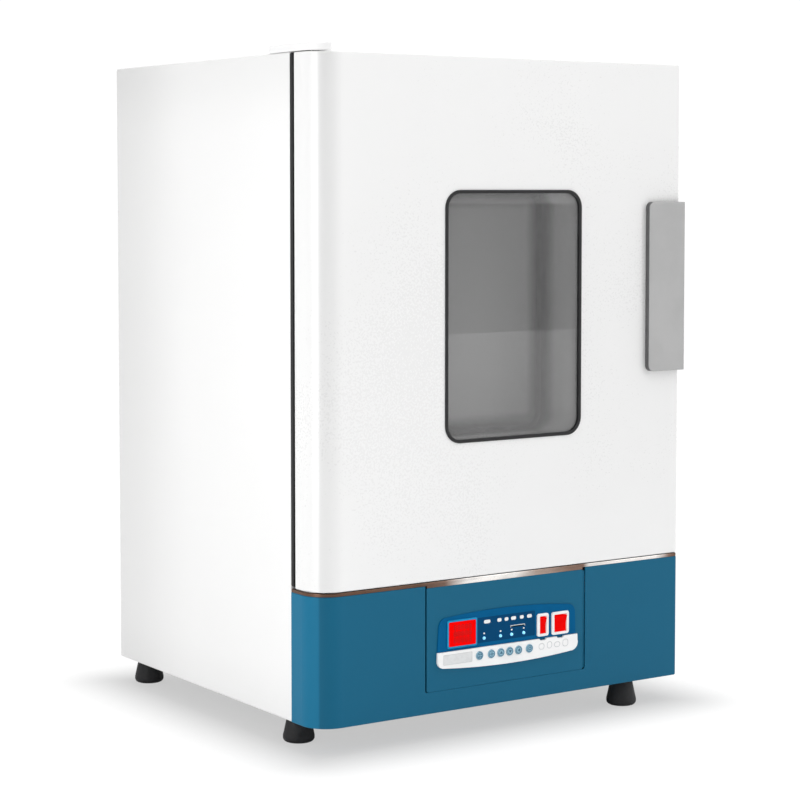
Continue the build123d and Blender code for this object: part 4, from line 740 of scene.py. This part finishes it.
plate("inlet_flange", [rounded(50, 26, 5, 8, 450, 70), rounded(24, 16.6, 3, 6, 450, 70), ring(1.8, 24, 430, 70), ring(1.8, 24, 470, 70)],
      504, 2.6, "black_plastic", "cabinet", bevel=0.3, replaces=("power_inlet",))
plate("inlet_shell", [rounded(27.2, 20, 2, 6, 450, 70), rounded(24, 16.6, 3, 6, 450, 70)], 482, 22.2, "black_plastic", "cabinet")
plate("inlet_back", [rounded(27.2, 20, 2, 6, 450, 70)], 480, 2.0, "black_plastic", "cabinet", bevel=0.3)
plate("inlet_blades", [rounded(2.0, 4.0, 0.5, 4, 450, 72), rounded(2.0, 4.0, 0.5, 4, 443, 68), rounded(2.0, 4.0, 0.5, 4, 457, 68)],
      474, 27.0, "brass", "cabinet", bevel=0.3)
verts, faces = [], []
for x in (430, 470):
    screw_mesh(verts, faces, P(x, 506.6, 70), (0, 1, 0), 3.2, 1.8, 1.6, 2.6, 0.4)
make("inlet_screws", verts, faces, "bright", "cabinet")

# Fluted knob on the damper's shaft
verts, faces = [], []
seg = 72
rows = [(28.3, 7.2), (28.3, 8.0), (29.0, 8.4), (36.6, 8.1), (38.0, 7.4), (38.4, 6.2), (38.4, 0.0)]
for rx, r in rows:
    for i in range(seg):
        a = 2 * math.pi * i / seg
        flute = 0.35 * (0.5 + 0.5 * math.cos(18 * a)) if 7.3 < r else 0.0
        verts.append(P(275 + rx, 516 + (r - flute) * math.cos(a), 655 + (r - flute) * math.sin(a)))
for j in range(len(rows) - 1):
    for i in range(seg):
        faces.append((j * seg + i, j * seg + (i + 1) % seg, (j + 1) * seg + (i + 1) % seg, (j + 1) * seg + i))
faces.append(tuple(range(seg)))
make("damper_knob", verts, faces, "black_plastic", "damper")


# ---------------------------------------------------------------------------
# Stage: floor, surroundings, lights, camera
# ---------------------------------------------------------------------------

mesh = bpy.data.meshes.new("floor")
mesh.from_pydata([(-40, -6.34, 0), (40, -6.34, 0), (40, 60, 0), (-40, 60, 0)], [], [(0, 1, 2, 3)])
floor = bpy.data.objects.new("floor", mesh)
bpy.context.scene.collection.objects.link(floor)
f = Mat("floor_paper")
f.set(Specular_IOR_Level=0.1, Roughness=0.9)
f.colour(f.ramp(f.noise(3.0, 2.0, 0.5), [(0.3, 0.90), (0.7, 0.905)]))
# Painted shadow: for camera rays the floor is 82% emission that darkens smoothly towards the cabinet's footprint, a
# soft shadow painted round the object rather than cast; it does not follow the door.
fx = f.math("MAXIMUM", f.math("SUBTRACT", f.math("ABSOLUTE", f.axis("X")), 0.272), 0.0)
fy = f.math("MAXIMUM", f.math("SUBTRACT", f.math("ABSOLUTE", f.math("ADD", f.axis("Y"), 0.019)), 0.248), 0.0)
away = f.math("SQRT", f.math("ADD", f.math("MULTIPLY", fx, fx), f.math("MULTIPLY", fy, fy)))
painted_shadow = f.node("ShaderNodeMapRange", interpolation_type="SMOOTHSTEP")
for k, v in (("From Min", -0.03), ("From Max", 0.115), ("To Min", 0.59), ("To Max", 1.06)):
    painted_shadow.inputs[k].default_value = v
f.link(away, painted_shadow.inputs["Value"])
glow = f.node("ShaderNodeEmission")
f.link(painted_shadow.outputs["Result"], glow.inputs["Strength"])
ray = f.node("ShaderNodeLightPath")
share = f.node("ShaderNodeMixShader")
f.link(f.math("MULTIPLY", ray.outputs["Is Camera Ray"], 0.82), share.inputs[0])
f.link(f.bsdf.outputs[0], share.inputs[1])
f.link(glow.outputs[0], share.inputs[2])
f.link(share.outputs[0], f.tree.nodes["Material Output"].inputs["Surface"])
mesh.materials.append(f.mat)

world = bpy.data.worlds.new("studio")
bpy.context.scene.world = world
world.use_nodes = True
wt = world.node_tree
wt.nodes.clear()


def wn(kind, **settings):
    n = wt.nodes.new(kind)
    for k, v in settings.items():
        setattr(n, k, v)
    return n


def wmath(op, a, b=None, clamp=False):
    n = wn("ShaderNodeMath", operation=op, use_clamp=clamp)
    for i, v in enumerate((a, b)):
        if v is None:
            continue
        if isinstance(v, (int, float)):
            n.inputs[i].default_value = v
        else:
            wt.links.new(v, n.inputs[i])
    return n.outputs[0]


WEDGE_AT, WEDGE_IN, WEDGE_OUT = math.radians(34), math.radians(36), math.radians(48)
BRIGHT, TILT, BACK, DIM, BELOW, ROOF = 1.17, 0.27, 0.34, 0.06, 0.16, 1.10
tc = wn("ShaderNodeTexCoord")
sep = wn("ShaderNodeSeparateXYZ")
wt.links.new(tc.outputs["Generated"], sep.inputs[0])
az = wmath("ARCTAN2", wmath("MULTIPLY", sep.outputs["X"], -1.0), wmath("MULTIPLY", sep.outputs["Y"], -1.0))
off = wmath("ABSOLUTE", wmath("SUBTRACT", az, WEDGE_AT))
edge = wn("ShaderNodeMapRange", interpolation_type="SMOOTHSTEP")
for k, v in (("From Min", WEDGE_IN), ("From Max", WEDGE_OUT), ("To Min", DIM)):
    edge.inputs[k].default_value = v
behind = wmath("MULTIPLY", wmath("MAXIMUM", sep.outputs["Y"], 0.0), BACK)
wt.links.new(wmath("SUBTRACT", wmath("ADD", wmath("MULTIPLY", sep.outputs["X"], TILT), BRIGHT), behind), edge.inputs["To Max"])
wt.links.new(off, edge.inputs["Value"])
roof = wn("ShaderNodeMapRange", interpolation_type="SMOOTHSTEP")
for k, v in (("From Min", 0.55), ("From Max", 0.85), ("To Min", 0.0), ("To Max", 1.0)):
    roof.inputs[k].default_value = v
wt.links.new(sep.outputs["Z"], roof.inputs["Value"])
up = wn("ShaderNodeMix", data_type="FLOAT")
wt.links.new(roof.outputs["Result"], up.inputs[0])
wt.links.new(edge.outputs["Result"], up.inputs[2])
up.inputs[3].default_value = ROOF
low = wn("ShaderNodeMix", data_type="FLOAT")
wt.links.new(wmath("GREATER_THAN", sep.outputs["Z"], 0.0), low.inputs[0])
low.inputs[2].default_value = BELOW
wt.links.new(up.outputs[0], low.inputs[3])
sky = wn("ShaderNodeBackground")
wt.links.new(low.outputs[0], sky.inputs["Strength"])
sky.inputs["Color"].default_value = (1, 1, 1, 1)
plain = wn("ShaderNodeBackground")
plain.inputs["Color"].default_value = (1, 1, 1, 1)
plain.inputs["Strength"].default_value = 1.05
path = wn("ShaderNodeLightPath")
choose = wn("ShaderNodeMixShader")
wt.links.new(path.outputs["Is Camera Ray"], choose.inputs[0])
wt.links.new(sky.outputs[0], choose.inputs[1])
wt.links.new(plain.outputs[0], choose.inputs[2])
out = wn("ShaderNodeOutputWorld")
wt.links.new(choose.outputs[0], out.inputs["Surface"])


def softbox(name, at, aim, size, power, tint=(1, 1, 1)):
    data = bpy.data.lights.new(name, "AREA")
    data.shape = "RECTANGLE"
    data.size, data.size_y = size
    data.energy = power
    data.color = tint
    obj = bpy.data.objects.new(name, data)
    bpy.context.scene.collection.objects.link(obj)
    obj.location = at
    obj.rotation_mode = "QUATERNION"
    obj.rotation_quaternion = (Vector(aim) - Vector(at)).to_track_quat("-Z", "Y")
    return obj


softbox("box_left", (-1.6, -0.70, 0.55), (-0.276, -0.20, 0.40), (0.6, 1.3), 8.4)
softbox("box_right", (1.9, -2.6, 1.3), (0.0, -0.27, 0.45), (1.0, 1.4), 4.0)
softbox("box_top", (0.2, -0.4, 3.2), (0, 0, 0), (3.0, 3.0), 30.0)

cam_data = bpy.data.cameras.new("camera")
cam = bpy.data.objects.new("camera", cam_data)
bpy.context.scene.collection.objects.link(cam)
cam_data.sensor_width = 36.0
cam_data.lens = 99.0817
cam_data.shift_y = -0.09495
cam_data.clip_end = 200.0
cam.location = (-1.60685, -2.42379, 0.66390)
cam.rotation_euler = (math.radians(90 - 3.5), 0.0, math.radians(-33.9033))
bpy.context.scene.camera = cam

view = bpy.context.scene.view_settings
view.view_transform = "Standard"
view.look = "None"
view.exposure = 0.0
view.gamma = 1.0
